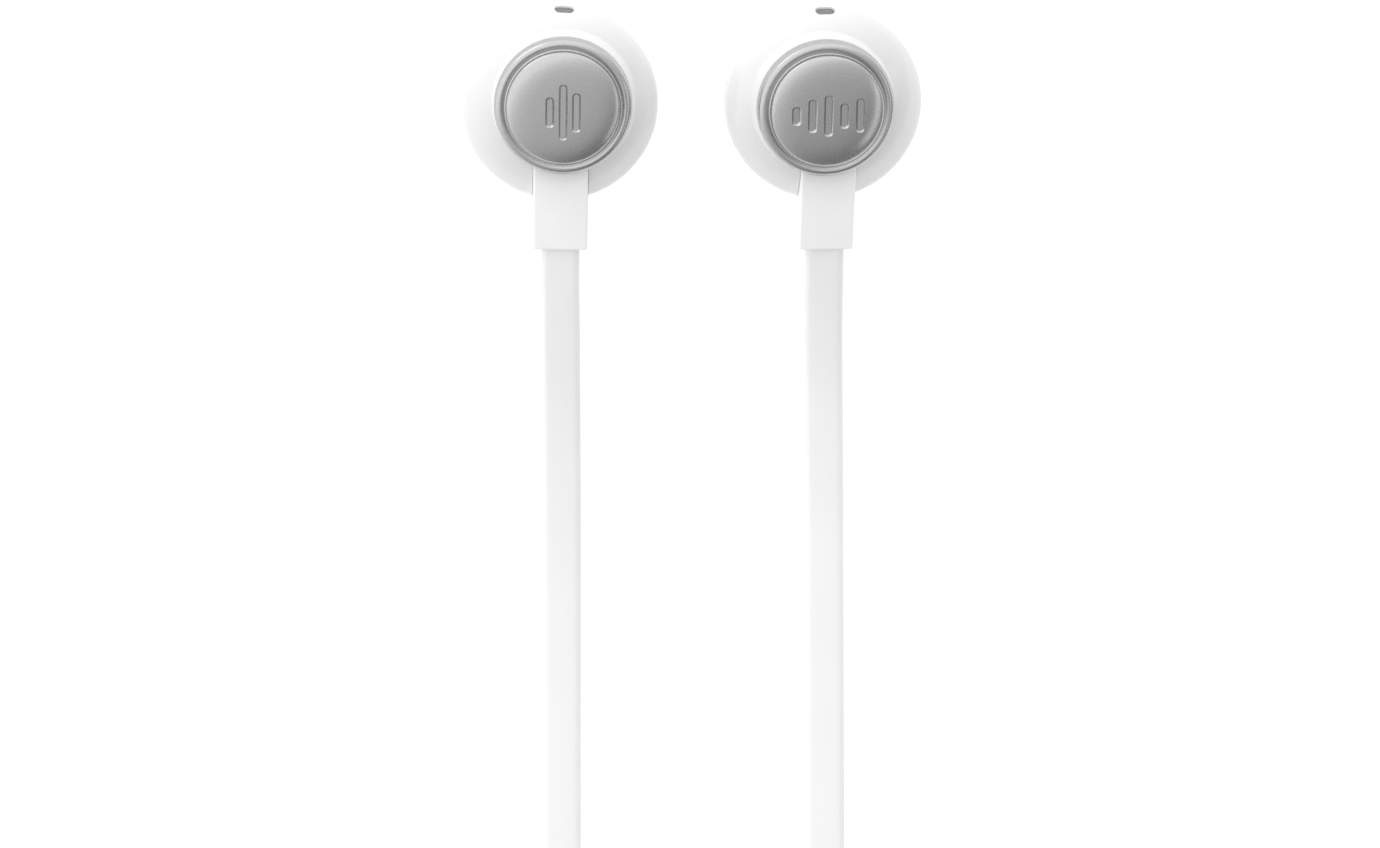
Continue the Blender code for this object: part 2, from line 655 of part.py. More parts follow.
def build_capsule_case(prefix, frame, upper):
    """Two case halves and the two cable grommets of a capsule."""
    lower = case_half(False)
    if prefix == "control":
        lower = cut(lower, port_opening())
    add_part(f"{prefix}_case_upper", upper, "gloss_white", frame)
    add_part(f"{prefix}_case_lower", lower, "gloss_white", frame)
    add_part(f"{prefix}_bud_grommet", grommet_mesh(1), "soft_white", frame)
    add_part(f"{prefix}_neck_grommet", grommet_mesh(-1), "soft_white", frame)


def build_control_capsule():
    """Control capsule on the right lead."""
    frame = add_frame("control_frame", (CAPSULE_X, CAPSULE_Y, 0.0))
    build_capsule_case("control", frame, control_upper_mesh())
    add_part("control_board", board_mesh(CONTROL_BOARD_LENGTH, 0.0, True), "board_green",
             frame)
    add_part("charging_socket", socket_mesh(), "driver_steel", frame)
    for name, centre_y in button_centres().items():
        add_part(name, button_mesh(centre_y), "soft_white", frame, (0.0, centre_y, CAPSULE_HEIGHT))
        wide, long, high = SWITCH_SIZE
        middle = (0.0, centre_y, BOARD_TOP + REST_GAP + high / 2)
        switch = softened(block(wide, long, high, middle), 0.2, 1)
        add_part(name.replace("_button", "_switch"), switch, "black_plastic", frame)
    middle = (*MICROPHONE_PLACE, BOARD_TOP + REST_GAP + MICROPHONE_SIZE[2] / 2)
    add_part("microphone", block(*MICROPHONE_SIZE, middle), "steel_mesh", frame)
    pipe = placed(turned(LIGHT_PIPE, 12), Matrix.Translation((*LIGHT_PLACE, 0.0)))
    add_part("status_light_pipe", pipe, "clear_plastic", frame)
    cover_x = CAPSULE_WIDTH / 2 - COVER_THICK / 2
    cover = softened(block(COVER_THICK, COVER_WIDTH, COVER_HEIGHT,
                           (cover_x, SOCKET_Y, CAPSULE_SPLIT)), COVER_EDGE, 2)
    hinge = (CAPSULE_WIDTH / 2, SOCKET_Y, CAPSULE_SPLIT + COVER_HEIGHT / 2)
    add_part("port_cover", cover, "soft_white", frame, hinge)


def build_battery_capsule():
    """Battery capsule on the left lead."""
    frame = add_frame("battery_frame", (-CAPSULE_X, CAPSULE_Y, 0.0))
    build_capsule_case("battery", frame, case_half(True))
    cell = plate(rounded_outline(*CELL_OUTLINE, 2), *CELL_RUN)
    cell = placed(softened(cell, CELL_EDGE, 1, OUTLINE_EDGES),
                  Matrix.Translation((0.0, CELL_Y, 0.0)))
    add_part("battery_cell", cell, "cell_foil", frame)
    add_part("protection_board", board_mesh(*PROTECTION_BOARD, False), "board_green", frame)


# ---------------------------------------------------------------- cables

def smooth_route(route, step):
    """Points about one step apart on a smooth curve through a route of (point, turn) pairs."""
    points = [Vector(point) for point, _ in route]
    turns = [turn for _, turn in route]
    ends = [2 * points[0] - points[1], *points, 2 * points[-1] - points[-2]]
    made = []
    for index in range(len(points) - 1):
        a, b, c, d = ends[index:index + 4]
        count = max(1, round((c - b).length / step))
        for part in range(count):
            t = part / count
            place = 0.5 * (2 * b + (c - a) * t + (2 * a - 5 * b + 4 * c - d) * t * t
                           + (3 * b - a - 3 * c + d) * t * t * t)
            made.append((place, turns[index] + (turns[index + 1] - turns[index]) * t))
    made.append((points[-1], turns[-1]))
    return made


def flat_cable(name, route):
    """A flat cable along a route: a curve whose section is as wide as the cable."""
    curve = bpy.data.curves.new(name, "CURVE")
    curve.dimensions = "3D"
    curve.twist_mode = "Z_UP"
    curve.extrude = (CABLE_WIDTH - CABLE_THICK) / 2 * MM
    curve.bevel_depth = CABLE_THICK / 2 * MM
    curve.bevel_resolution = 2
    curve.use_fill_caps = True
    samples = smooth_route(route, CABLE_STEP)
    spline = curve.splines.new("POLY")
    spline.points.add(len(samples) - 1)
    for point, (place, turn) in zip(spline.points, samples):
        point.co = (*(place * MM), 1.0)
        point.tilt = turn
    cable = bpy.data.objects.new(name, curve)
    parts.objects.link(cable)
    curve.materials.append(materials["cable_white"])
    return cable


def build_coil():
    """The wound turns as one ring, and the open clip that holds them."""
    place = Matrix.Translation((0.0, COIL_Y, 0.0))
    ring = turned([(COIL_OUTER_R, CABLE_WIDTH), (COIL_OUTER_R, 0.0), (COIL_INNER_R, 0.0),
                   (COIL_INNER_R, CABLE_WIDTH)], COIL_STEPS)
    add_part("neck_coil", placed(ring, place), "cable_white")
    low_r = COIL_INNER_R - GAP
    high_r = COIL_OUTER_R + GAP
    inside_top = CABLE_WIDTH + GAP
    centre_y = COIL_Y - (low_r + high_r) / 2
    outer = block(CLIP_WIDTH, high_r - low_r + 2 * (CLIP_WALL + CLIP_SLACK),
                  inside_top + CLIP_WALL, (0.0, centre_y, (inside_top + CLIP_WALL) / 2))
    channel_r = low_r - CLIP_SLACK
    channel = turned([(high_r, inside_top), (high_r, -1.0), (channel_r, -1.0),
                      (channel_r, inside_top)], COIL_STEPS)
    clip = cut(softened(outer, CLIP_EDGE, 2), placed(channel, place))
    add_part("coil_clip", clip, "soft_white")


clear_objects()
parts = make_collection("neckband_earphones")
materials = {name: make_material(name, *finish) for name, finish in COLOURS.items()}
for bud_side in ("left", "right"):
    build_bud(bud_side)
build_control_capsule()
build_battery_capsule()
build_coil()
for cable_name, cable_route in CABLE_ROUTES.items():
    flat_cable(cable_name, cable_route)
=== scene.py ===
"""Looks for the flat-cable neckband earphones: shells, caps, silicone, cables and studio.

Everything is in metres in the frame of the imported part. Bud pieces are modelled upright about
their own axis (rear cap up, cable towards -Y) and then seated; capsule pieces are modelled at
the origin, along Y, and then moved to their capsule. Sizes written in millimetres carry MM.
"""

import math

import bpy
from mathutils import Euler, Matrix, Vector


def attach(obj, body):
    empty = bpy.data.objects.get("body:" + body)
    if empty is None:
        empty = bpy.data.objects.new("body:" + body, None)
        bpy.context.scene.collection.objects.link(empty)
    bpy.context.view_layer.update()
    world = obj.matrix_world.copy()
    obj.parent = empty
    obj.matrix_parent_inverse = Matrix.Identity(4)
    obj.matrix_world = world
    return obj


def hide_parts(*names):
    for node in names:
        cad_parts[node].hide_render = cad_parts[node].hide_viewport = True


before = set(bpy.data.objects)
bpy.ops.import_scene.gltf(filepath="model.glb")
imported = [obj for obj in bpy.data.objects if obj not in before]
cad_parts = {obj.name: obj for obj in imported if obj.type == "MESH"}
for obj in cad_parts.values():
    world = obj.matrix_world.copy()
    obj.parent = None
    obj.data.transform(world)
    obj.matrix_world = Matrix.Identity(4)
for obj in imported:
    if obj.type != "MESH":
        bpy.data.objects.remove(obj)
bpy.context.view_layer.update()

MM = 0.001
SIDES = ("left", "right")

# How each bud lies: its centre, and its turn about X, Y and Z in degrees
BUD_TURN = {"left": (12.5, 0.8, -0.55), "right": (15.5, 7.0, 0.9)}
BUD_CENTRE = {"left": (-11.42, 87.15, 7.649), "right": (11.49, 87.15, 7.701)}
STEPS = 144
FINE_STEPS = 96
WELD = 0.000001

# Flat cable and its routes, in millimetres; each point carries the turn of the flat section
CABLE_WIDTH = 3.4
CABLE_THICK = 1.2
LYING = math.pi / 2
ON_EDGE = 0.0
LEAD_ROUTES = {
    "left": [
        (-11.357, 74.84, 6.335), (-11.365, 74.27, 6.155), (-11.37, 71.1, 5.16),
        (-11.34, 66.4, 3.66), (-11.31, 60.6, 2.07),
        (-11.30, 53.5, 1.00), (-11.30, 45.0, 0.66), (-11.30, 30.0, 0.63), (-11.30, 14.0, 0.63),
        (-11.35, -4.0, 0.63), (-11.45, -20.0, 0.63), (-11.55, -31.0, 0.70), (-11.6, -37.5, 1.40),
        (-11.6, -41.5, 2.45), (-11.6, -44.5, 2.95), (-11.6, -45.1, 3.0)],
    "right": [
        (11.622, 74.93, 5.74), (11.606, 74.365, 5.53), (11.56, 71.2, 4.36),
        (11.54, 66.8, 2.90), (11.58, 61.2, 1.54),
        (11.62, 54.0, 0.80), (11.66, 46.0, 0.65), (11.70, 32.0, 0.63), (11.73, 20.0, 0.63),
        (11.72, 4.0, 0.63), (11.70, -14.0, 0.63), (11.65, -30.0, 0.70), (11.62, -37.0, 1.40),
        (11.6, -41.5, 2.45), (11.6, -44.5, 2.95)],
}
NECK_IN = [
    ((11.6, -95.5, 3.0), LYING), ((11.6, -96.1, 2.95), LYING), ((11.75, -98.6, 2.60), LYING),
    ((13.4, -102.6, 2.00), 0.60 * LYING), ((16.6, -107.0, 1.80), 0.25 * LYING),
    ((19.2, -111.6, 1.76), ON_EDGE), ((20.7, -116.2, 1.74), ON_EDGE)]
NECK_OUT = [
    ((-14.55, -120.0, 4.32), LYING), ((-14.45, -114.0, 4.40), LYING),
    ((-13.9, -108.5, 4.35), LYING), ((-12.8, -103.2, 3.90), LYING),
    ((-11.9, -99.2, 3.25), LYING), ((-11.6, -96.1, 3.00), LYING), ((-11.6, -95.5, 3.0), LYING)]
COIL_CENTRE = (0.0, -121.9)
COIL_HEIGHT = 1.72
COIL_STEP = 15.0
COIL_EASE = (15.0, 21.47, -60.0, 19.5)
COIL_TURNS = (-60.0, 19.5, -1190.0, 14.85)
COIL_RISE = (-1190.0, -1264.0, 4.32)
ROUTE_STEP = 1.5

# Camera: straight down on the two buds, in metres
CAMERA_DISTANCE = 0.9
VIEW_WIDTH = 0.1197
VIEW_CENTRE = (-0.00007, 0.0592)
SUBJECT_HEIGHT = 0.0077

# Ear bud sizes in millimetres, in the bud's own frame
DOME_R = 8.6
DOME_REAR = 3.9
COLLAR_CENTRE = {"left": (0.34, 0.45), "right": (-0.34, 0.45)}
COLLAR_TOP = 3.46
CROWN = 6.1
PILLOW_DROP = (0.2, 0.42)
DISC_R = 4.93
DISC_STEP = 0.19
DISC_STEPS = 26
DISC_EDGE = [(4.85, 5.50), (4.92, 5.38), (4.945, 5.20), (4.95, 5.03)]
CAP_R = 5.98
RIM = [(5.0, 4.96), (5.1, 4.93), (5.25, 4.98), (5.38, 5.03), (5.5, 5.03), (5.65, 4.97),
       (5.8, 4.86), (5.9, 4.72), (5.96, 4.5), (5.98, 4.2), (5.98, 3.8)]
VENT_X = {"left": 0.37, "right": -0.14}
VENT_Z = 0.87
RELIEF_X = {"left": 0.20, "right": 0.18}
RELIEF_WIDTH = 4.8
RELIEF_THICK = 2.5
RELIEF_START = (-2.9, 2.19)
RELIEF_END = (-12.6, 1.356)
RELIEF_TAPER = (0.99, 0.8)
RELIEF_EDGE = 0.24
OUTLET_START = 3.5
OUTLET_DEPTH = 3.9
OUTLET_SQUASH = 0.18
OUTLET_SHIFT = 0.7
GRILLE_PITCH = 0.72
GRILLE_REACH = 2.35
GRILLE_HOLE_R = 0.24

# Debossed sound-level marks: bar heights, bar width and pitch
MARKS = {"left": ((2.7, 5.0, 3.5), 0.78, 1.15),
         "right": ((1.7, 3.0, 3.7, 2.3, 3.1), 0.82, 1.4)}
MARK_CENTRE_Y = -0.27
MARK_DEPTH = 0.18
MARK_ABOVE = 0.08
MARK_WALL = 0.16

# Capsule sizes in millimetres, in the capsule's own frame
CAPSULE_X = 11.6
CAPSULE_Y = -70.3
CASE_WIDTH = 10.0
CASE_LENGTH = 46.0
CASE_HEIGHT = 6.0
CASE_CORNER = 3.2
CASE_SPLIT = 3.0
CASE_WALL = 0.8
SHUT_GAP = 0.02
KEY_SIZE = (5.4, 7.4)
KEY_CORNER = 2.2
KEY_PROUD = 0.45
KEY_MARK_DEPTH = 0.18
KEYS = (("volume_up_button", "volume_up_key", "plus", 13.6),
        ("multifunction_button", "multifunction_key", "dot", 4.2),
        ("volume_down_button", "volume_down_key", "minus", -5.2))
MICROPHONE_PLACE = (2.0, 19.2)
LIGHT_PLACE = (-2.0, 19.2)
PORT_Y = -14.2
COVER_LONG = 10.4
COVER_TALL = 3.7
COVER_THICK = 0.8
SOCKET_BACK = -2.95
CLIP_CHANNEL = (13.9, 20.5)

# Studio: brightness of the room against the share of the direction away from the bright corner
FLOOR_TONE = 0.55
FLOOR_GLOW = 0.65
BRIGHT_TO_DARK = (0.6, -0.8, 0.0)
ROOM_TONES = ((-0.30, 1.55), (-0.04, 1.16), (0.10, 0.98), (0.25, 0.86), (0.45, 0.72),
              (0.64, 0.53), (0.80, 0.34), (1.0, 0.30))
HORIZON_RANGE = (0.0, 0.10)
ROOM_HORIZON = 0.8
SOFT_BOXES = [
    ("corner_soft_box", (-0.30, 0.46, 0.24), (0.0, 0.08, 0.0), (0.30, 0.14), 0.16),
    ("side_strip", (0.42, -0.10, 0.27), (0.0, 0.08, 0.0), (0.5, 0.14), 0.17),
]


# ------------------------------------------------------------------ modelling helpers

def deselect_all():
    """Leave nothing selected, so that an operator acts on the new shape only."""
    for item in bpy.context.selected_objects:
        item.select_set(False)


def rounded(corners, closed=True, arc_steps=5):
    """Turn (x, y, fillet) corners into points, with each fillet as an arc."""
    points = []
    count = len(corners)
    for index, (x, y, fillet) in enumerate(corners):
        here = Vector((x, y))
        inner = closed or 0 < index < count - 1
        if fillet <= 0.0 or not inner:
            points.append((x, y))
            continue
        before = (Vector(corners[index - 1][:2]) - here).normalized()
        after = (Vector(corners[(index + 1) % count][:2]) - here).normalized()
        half = before.angle(after) / 2
        middle = here + (before + after).normalized() * (fillet / math.sin(half))
        start = here + before * (fillet / math.tan(half)) - middle
        end = here + after * (fillet / math.tan(half)) - middle
        sweep = start.angle_signed(end)
        for step in range(arc_steps + 1):
            turn = -sweep * step / arc_steps
            points.append((middle.x + start.x * math.cos(turn) - start.y * math.sin(turn),
                           middle.y + start.x * math.sin(turn) + start.y * math.cos(turn)))
    return points


def arc(centre, radii, start, end, steps):
    """(x, y, 0) corners along an elliptical arc, in degrees."""
    turns = [math.radians(start + (end - start) * step / steps) for step in range(steps + 1)]
    return [(centre[0] + radii[0] * math.cos(a), centre[1] + radii[1] * math.sin(a), 0.0)
            for a in turns]


def start_vertex(place):
    """A new mesh object in edit mode with one vertex, made from a plane merged to its centre."""
    deselect_all()
    bpy.ops.mesh.primitive_plane_add(size=MM, location=(0, 0, 0))
    bpy.ops.object.mode_set(mode="EDIT")
    bpy.ops.mesh.select_all(action="SELECT")
    bpy.ops.mesh.merge(type="CENTER")
    bpy.ops.transform.translate(value=place)
    return bpy.context.object


def draw_chain(points):
    """Extrude the selected vertex from point to point."""
    for here, there in zip(points, points[1:]):
        step = tuple(b - a for a, b in zip(here, there))
        bpy.ops.mesh.extrude_vertices_move(TRANSFORM_OT_translate={"value": step})


def finish_edit(name, item):
    """Weld, face outwards, leave edit mode and name the piece."""
    bpy.ops.mesh.select_all(action="SELECT")
    bpy.ops.mesh.remove_doubles(threshold=WELD)
    bpy.ops.mesh.normals_make_consistent(inside=False)
    bpy.ops.object.mode_set(mode="OBJECT")
    item.name = name
    item.data.name = name
    return item


def spun(name, corners, steps=STEPS, closed=True):
    """Spin a profile of (radius, height, fillet) corners in millimetres about Z."""
    flat = rounded(corners, closed)
    if closed:
        flat.append(flat[0])
    points = [(r * MM, 0.0, z * MM) for r, z in flat]
    item = start_vertex(points[0])
    draw_chain(points)
    bpy.ops.mesh.select_all(action="SELECT")
    bpy.ops.mesh.spin(steps=steps, angle=math.tau, center=(0, 0, 0), axis=(0, 0, 1))
    return finish_edit(name, item)


def slab(name, corners, low, high, arc_steps=8):
    """Fill an outline of (x, y, fillet) corners in millimetres and extrude it upwards."""
    flat = rounded(corners, True, arc_steps)
    points = [(x * MM, y * MM, low * MM) for x, y in flat]
    item = start_vertex(points[0])
    draw_chain(points + [points[0]])
    bpy.ops.mesh.select_all(action="SELECT")
    bpy.ops.mesh.remove_doubles(threshold=WELD)
    bpy.ops.mesh.edge_face_add()
    bpy.ops.mesh.extrude_region_move(
        TRANSFORM_OT_translate={"value": (0, 0, (high - low) * MM)})
    return finish_edit(name, item)


def box_corners(width, length, fillet, centre=(0.0, 0.0)):
    """Corners of a rounded rectangle."""
    x, y = centre
    return [(x + width / 2, y - length / 2, fillet), (x + width / 2, y + length / 2, fillet),
            (x - width / 2, y + length / 2, fillet), (x - width / 2, y - length / 2, fillet)]


def ring_corners(radius, count, centre=(0.0, 0.0)):
    """Corners of a round outline."""
    turns = [math.tau * step / count for step in range(count)]
    return [(centre[0] + radius * math.cos(a), centre[1] + radius * math.sin(a), 0.0)
            for a in turns]


def choose(item, test):
    """Go into edit mode with only the vertices that pass a test selected."""
    deselect_all()
    bpy.context.view_layer.objects.active = item
    item.select_set(True)
    bpy.ops.object.mode_set(mode="EDIT")
    bpy.ops.mesh.select_mode(type="VERT")
    bpy.ops.mesh.select_all(action="DESELECT")
    bpy.ops.object.mode_set(mode="OBJECT")
    for vert in item.data.vertices:
        vert.select = test(vert.co)
    bpy.ops.object.mode_set(mode="EDIT")


def use_modifier(item, kind, **settings):
    """Add a modifier, set it and apply it."""
    deselect_all()
    bpy.context.view_layer.objects.active = item
    item.select_set(True)
    modifier = item.modifiers.new(kind.lower(), kind)
    for key, value in settings.items():
        setattr(modifier, key, value)
    bpy.ops.object.modifier_apply(modifier=modifier.name)
    return item


def soften(item, width, segments=4, angle=30.0):
    """Round the sharp edges of a piece."""
    return use_modifier(item, "BEVEL", width=width * MM, segments=segments,
                        limit_method="ANGLE", angle_limit=math.radians(angle))


def combine(item, tool, operation):
    """Cut with, join or keep the common part with another piece, which is used up."""
    use_modifier(item, "BOOLEAN", operation=operation, solver="EXACT", object=tool)
    bpy.data.objects.remove(tool, do_unlink=True)
    return item


def cut(item, *tools):
    """Take each tool's shape away from a piece."""
    for tool in tools:
        combine(item, tool, "DIFFERENCE")
    return item


def add(item, *others):
    """Join each other shape into a piece."""
    for other in others:
        combine(item, other, "UNION")
    return item


def place(item, matrix):
    """Set a piece down: the matrix goes into its mesh and the object stays at the origin."""
    item.data.transform(matrix)
    item.data.update()
    return item


def moved(item, x=0.0, y=0.0, z=0.0):
    """Shift a piece by millimetres."""
    return place(item, Matrix.Translation(Vector((x, y, z)) * MM))


def smooth(item, angle=35.0):
    """Shade a piece smooth, with its sharp edges kept."""
    deselect_all()
    bpy.context.view_layer.objects.active = item
    item.select_set(True)
    bpy.ops.object.shade_smooth_by_angle(angle=math.radians(angle))
    return item


def dress(item, body, slot, material, *nodes):
    """Give a finished piece its material, seat it on its body and hide its solids; its slot is
    not used.
    """
    smooth(item)
    if material is not None:
        item.data.materials.clear()
        item.data.materials.append(material)
    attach(item, body)
    if nodes:
        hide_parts(*nodes)
    return item


def between(a, b, c, d, t):
    """Point at share t of the way from b to c on the smooth curve through a, b, c and d."""
    return 0.5 * (2 * b + (c - a) * t + (2 * a - 5 * b + 4 * c - d) * t * t
                  + (3 * b - a - 3 * c + d) * t * t * t)


def smooth_route(route, step):
    """Points about one step apart on a smooth curve through (point, turn) pairs."""
    points = [Vector(point) for point, _ in route]
    turns = [turn for _, turn in route]
    ends = [2 * points[0] - points[1], *points, 2 * points[-1] - points[-2]]
    made = []
    for index in range(len(points) - 1):
        a, b, c, d = ends[index:index + 4]
        count = max(1, round((c - b).length / step))
        for part in range(count):
            t = part / count
            spot = between(a, b, c, d, t)
            made.append((spot, turns[index] + (turns[index + 1] - turns[index]) * t))
    made.append((points[-1], turns[-1]))
    return made


# ------------------------------------------------------------------ camera

def build_camera():
    """Look straight down at the two buds."""
    data = bpy.data.cameras.new("view_camera")
    data.sensor_width = 36.0
    data.lens = data.sensor_width * CAMERA_DISTANCE / VIEW_WIDTH
    camera = bpy.data.objects.new("view_camera", data)
    bpy.context.scene.collection.objects.link(camera)
    camera.location = (*VIEW_CENTRE, SUBJECT_HEIGHT + CAMERA_DISTANCE)
    bpy.context.scene.camera = camera


# ------------------------------------------------------------------ cables

def flat_cable(name, samples):
    """Sweep the flat section along (point, turn) samples and return the piece and its path."""
    curve = bpy.data.curves.new(name, "CURVE")
    curve.dimensions = "3D"
    curve.twist_mode = "Z_UP"
    curve.extrude = (CABLE_WIDTH - CABLE_THICK) / 2 * MM
    curve.bevel_depth = CABLE_THICK / 2 * MM
    curve.bevel_resolution = 5
    curve.use_fill_caps = True
    spline = curve.splines.new("POLY")
    spline.points.add(len(samples) - 1)
    for point, (spot, turn) in zip(spline.points, samples):
        point.co = (*(spot * MM), 1.0)
        point.tilt = turn
    item = bpy.data.objects.new(name, curve)
    bpy.context.scene.collection.objects.link(item)
    deselect_all()
    item.select_set(True)
    bpy.context.view_layer.objects.active = item
    bpy.ops.object.convert(target="MESH")
    bpy.ops.object.mode_set(mode="EDIT")
    finish_edit(name, item)
    return item, [tuple(spot * MM) for spot, _ in samples]


def eased(share):
    """A share from 0 to 1 that starts and stops gently."""
    share = min(1.0, max(0.0, share))
    return share * share * (3.0 - 2.0 * share)


def coil_route():
    """Turns of the neck lead, clockwise from the outside in, then up over the turns."""
    def spot(angle, radius, wire_height_and_gap_shade):
        turn = math.radians(angle)
        return (COIL_CENTRE[0] + radius * math.cos(turn),
                COIL_CENTRE[1] + radius * math.sin(turn), wire_height_and_gap_shade)

    def steps(first, last):
        count = round(abs(last - first) / COIL_STEP)
        return [(first + (last - first) * step / count, step / count) for step in range(count)]

    made = []
    first, outer, last, inner = COIL_EASE
    for angle, share in steps(first - COIL_STEP, last):
        made.append((spot(angle, outer + (inner - outer) * eased(share), COIL_HEIGHT), ON_EDGE))
    first, outer, last, inner = COIL_TURNS
    for angle, share in steps(first, last):
        made.append((spot(angle, outer + (inner - outer) * share, COIL_HEIGHT), ON_EDGE))
    first, last, top = COIL_RISE
    for angle, share in steps(first, last):
        radius = inner - 0.18 * share - 0.6 * math.sin(math.pi * share) ** 2
        wire_height_and_gap_shade = COIL_HEIGHT + (top - COIL_HEIGHT) * eased(share / 0.8)
        made.append((spot(angle, radius, wire_height_and_gap_shade), LYING * eased((share - 0.2) / 0.8)))
    return made


def build_cables(material):
    """The two bud leads and the neck lead, each a cord at its real length."""
    for side in SIDES:
        route = [(point, LYING) for point in LEAD_ROUTES[side]]
        lead, path = flat_cable(f"{side}_bud_lead", smooth_route(route, ROUTE_STEP))
        dress(lead, "earphones", "cable_white", material, f"{side}_lead")
    samples = smooth_route(NECK_IN + coil_route() + NECK_OUT, ROUTE_STEP)
    lead, path = flat_cable("neck_lead", samples)
    dress(lead, "earphones", "cable_white", material, "neck_lead_right", "neck_coil",
          "neck_lead_left")


# ------------------------------------------------------------------ finishes

def finish_tree(name):
    """A new material with its node tree and its main shader."""
    material = bpy.data.materials.new(name)
    material.use_nodes = True
    tree = material.node_tree
    return material, tree, tree.nodes["Principled BSDF"]


def noise(tree, scale, detail=3.0, stretch=(1.0, 1.0, 1.0)):
    """Noise on the piece's own coordinates; scale is patches per metre."""
    where = tree.nodes.new("ShaderNodeTexCoord")
    mapping = tree.nodes.new("ShaderNodeMapping")
    mapping.inputs["Scale"].default_value = stretch
    texture = tree.nodes.new("ShaderNodeTexNoise")
    texture.inputs["Scale"].default_value = scale
    texture.inputs["Detail"].default_value = detail
    tree.links.new(where.outputs["Object"], mapping.inputs["Vector"])
    tree.links.new(mapping.outputs["Vector"], texture.inputs["Vector"])
    return texture.outputs["Fac"]


def ranged(tree, source, low, high, start=0.3, end=0.7):
    """Spread a pattern's values between two numbers."""
    node = tree.nodes.new("ShaderNodeMapRange")
    node.inputs["From Min"].default_value = start
    node.inputs["From Max"].default_value = end
    node.inputs["To Min"].default_value = low
    node.inputs["To Max"].default_value = high
    tree.links.new(source, node.inputs["Value"])
    return node.outputs["Result"]


def tinted(tree, shader, source, dark, light, start=0.3, end=0.7):
    """Drive the base colour between two colours by a pattern."""
    ramp = tree.nodes.new("ShaderNodeValToRGB")
    ramp.color_ramp.elements[0].position = start
    ramp.color_ramp.elements[0].color = (*dark, 1.0)
    ramp.color_ramp.elements[1].position = end
    ramp.color_ramp.elements[1].color = (*light, 1.0)
    tree.links.new(source, ramp.inputs["Fac"])
    tree.links.new(ramp.outputs["Color"], shader.inputs["Base Color"])


def raised(tree, shader, source, depth, under=None):
    """Turn a pattern into relief of that depth in millimetres, on top of another relief."""
    bump = tree.nodes.new("ShaderNodeBump")
    bump.inputs["Strength"].default_value = 1.0
    bump.inputs["Distance"].default_value = depth * MM
    tree.links.new(source, bump.inputs["Height"])
    if under is not None:
        tree.links.new(under, bump.inputs["Normal"])
    tree.links.new(bump.outputs["Normal"], shader.inputs["Normal"])
    return bump.outputs["Normal"]


def set_sockets(shader, **values):
    """Set plain shader sockets; underscores in a name stand for spaces."""
    for name, value in values.items():
        shader.inputs[name.replace("_", " ")].default_value = value


def gloss_white():
    """Polished white plastic with a faint ripple from the mould."""
    material, tree, shader = finish_tree("polished_white_plastic")
    tinted(tree, shader, noise(tree, 120.0), (0.74, 0.742, 0.745), (0.765, 0.765, 0.765))
    tree.links.new(ranged(tree, noise(tree, 700.0), 0.055, 0.10), shader.inputs["Roughness"])
    raised(tree, shader, noise(tree, 260.0, 1.0), 0.004)
    set_sockets(shader, IOR=1.5)
    return material


def satin_silver():
    """Metallic satin finish with fine sparkle grain."""
    material, tree, shader = finish_tree("satin_silver_finish")
    grain = noise(tree, 9000.0, 2.0)
    tinted(tree, shader, grain, (0.42, 0.42, 0.423), (0.48, 0.48, 0.483))
    tree.links.new(ranged(tree, noise(tree, 5200.0, 1.0), 0.20, 0.28), shader.inputs["Roughness"])
    raised(tree, shader, grain, 0.0016)
    set_sockets(shader, Metallic=1.0)
    return material


def soft_white():
    """Matte white silicone with a fine moulded grain."""
    material, tree, shader = finish_tree("matte_white_silicone")
    tinted(tree, shader, noise(tree, 300.0), (0.875, 0.875, 0.875), (0.90, 0.90, 0.90))
    tree.links.new(ranged(tree, noise(tree, 2500.0), 0.48, 0.62), shader.inputs["Roughness"])
    raised(tree, shader, noise(tree, 4200.0, 2.0), 0.012)
    set_sockets(shader, IOR=1.42)
    return material


def cable_white():
    """White cable jacket: extruded, so its grain runs faintly lengthwise."""
    material, tree, shader = finish_tree("white_cable_jacket")
    tinted(tree, shader, noise(tree, 90.0), (0.79, 0.79, 0.79), (0.82, 0.82, 0.82))
    tree.links.new(ranged(tree, noise(tree, 1800.0), 0.36, 0.50), shader.inputs["Roughness"])
    lines = raised(tree, shader, noise(tree, 1500.0, 2.0, (1.0, 0.03, 1.0)), 0.005)
    raised(tree, shader, noise(tree, 5000.0, 2.0), 0.005, lines)
    set_sockets(shader, IOR=1.45)
    return material


def woven(tree, pitch):
    """Crossed wires of that pitch in millimetres, as a height pattern."""
    bands = []
    for turn in (45.0, -45.0):
        where = tree.nodes.new("ShaderNodeTexCoord")
        mapping = tree.nodes.new("ShaderNodeMapping")
        mapping.inputs["Rotation"].default_value = (0.0, 0.0, math.radians(turn))
        wave = tree.nodes.new("ShaderNodeTexWave")
        wave.inputs["Scale"].default_value = 0.314 / (pitch * MM)
        wave.inputs["Distortion"].default_value = 0.0
        tree.links.new(where.outputs["Object"], mapping.inputs["Vector"])
        tree.links.new(mapping.outputs["Vector"], wave.inputs["Vector"])
        bands.append(wave.outputs["Fac"])
    both = tree.nodes.new("ShaderNodeMath")
    both.operation = "MAXIMUM"
    tree.links.new(bands[0], both.inputs[0])
    tree.links.new(bands[1], both.inputs[1])
    return both.outputs["Value"]


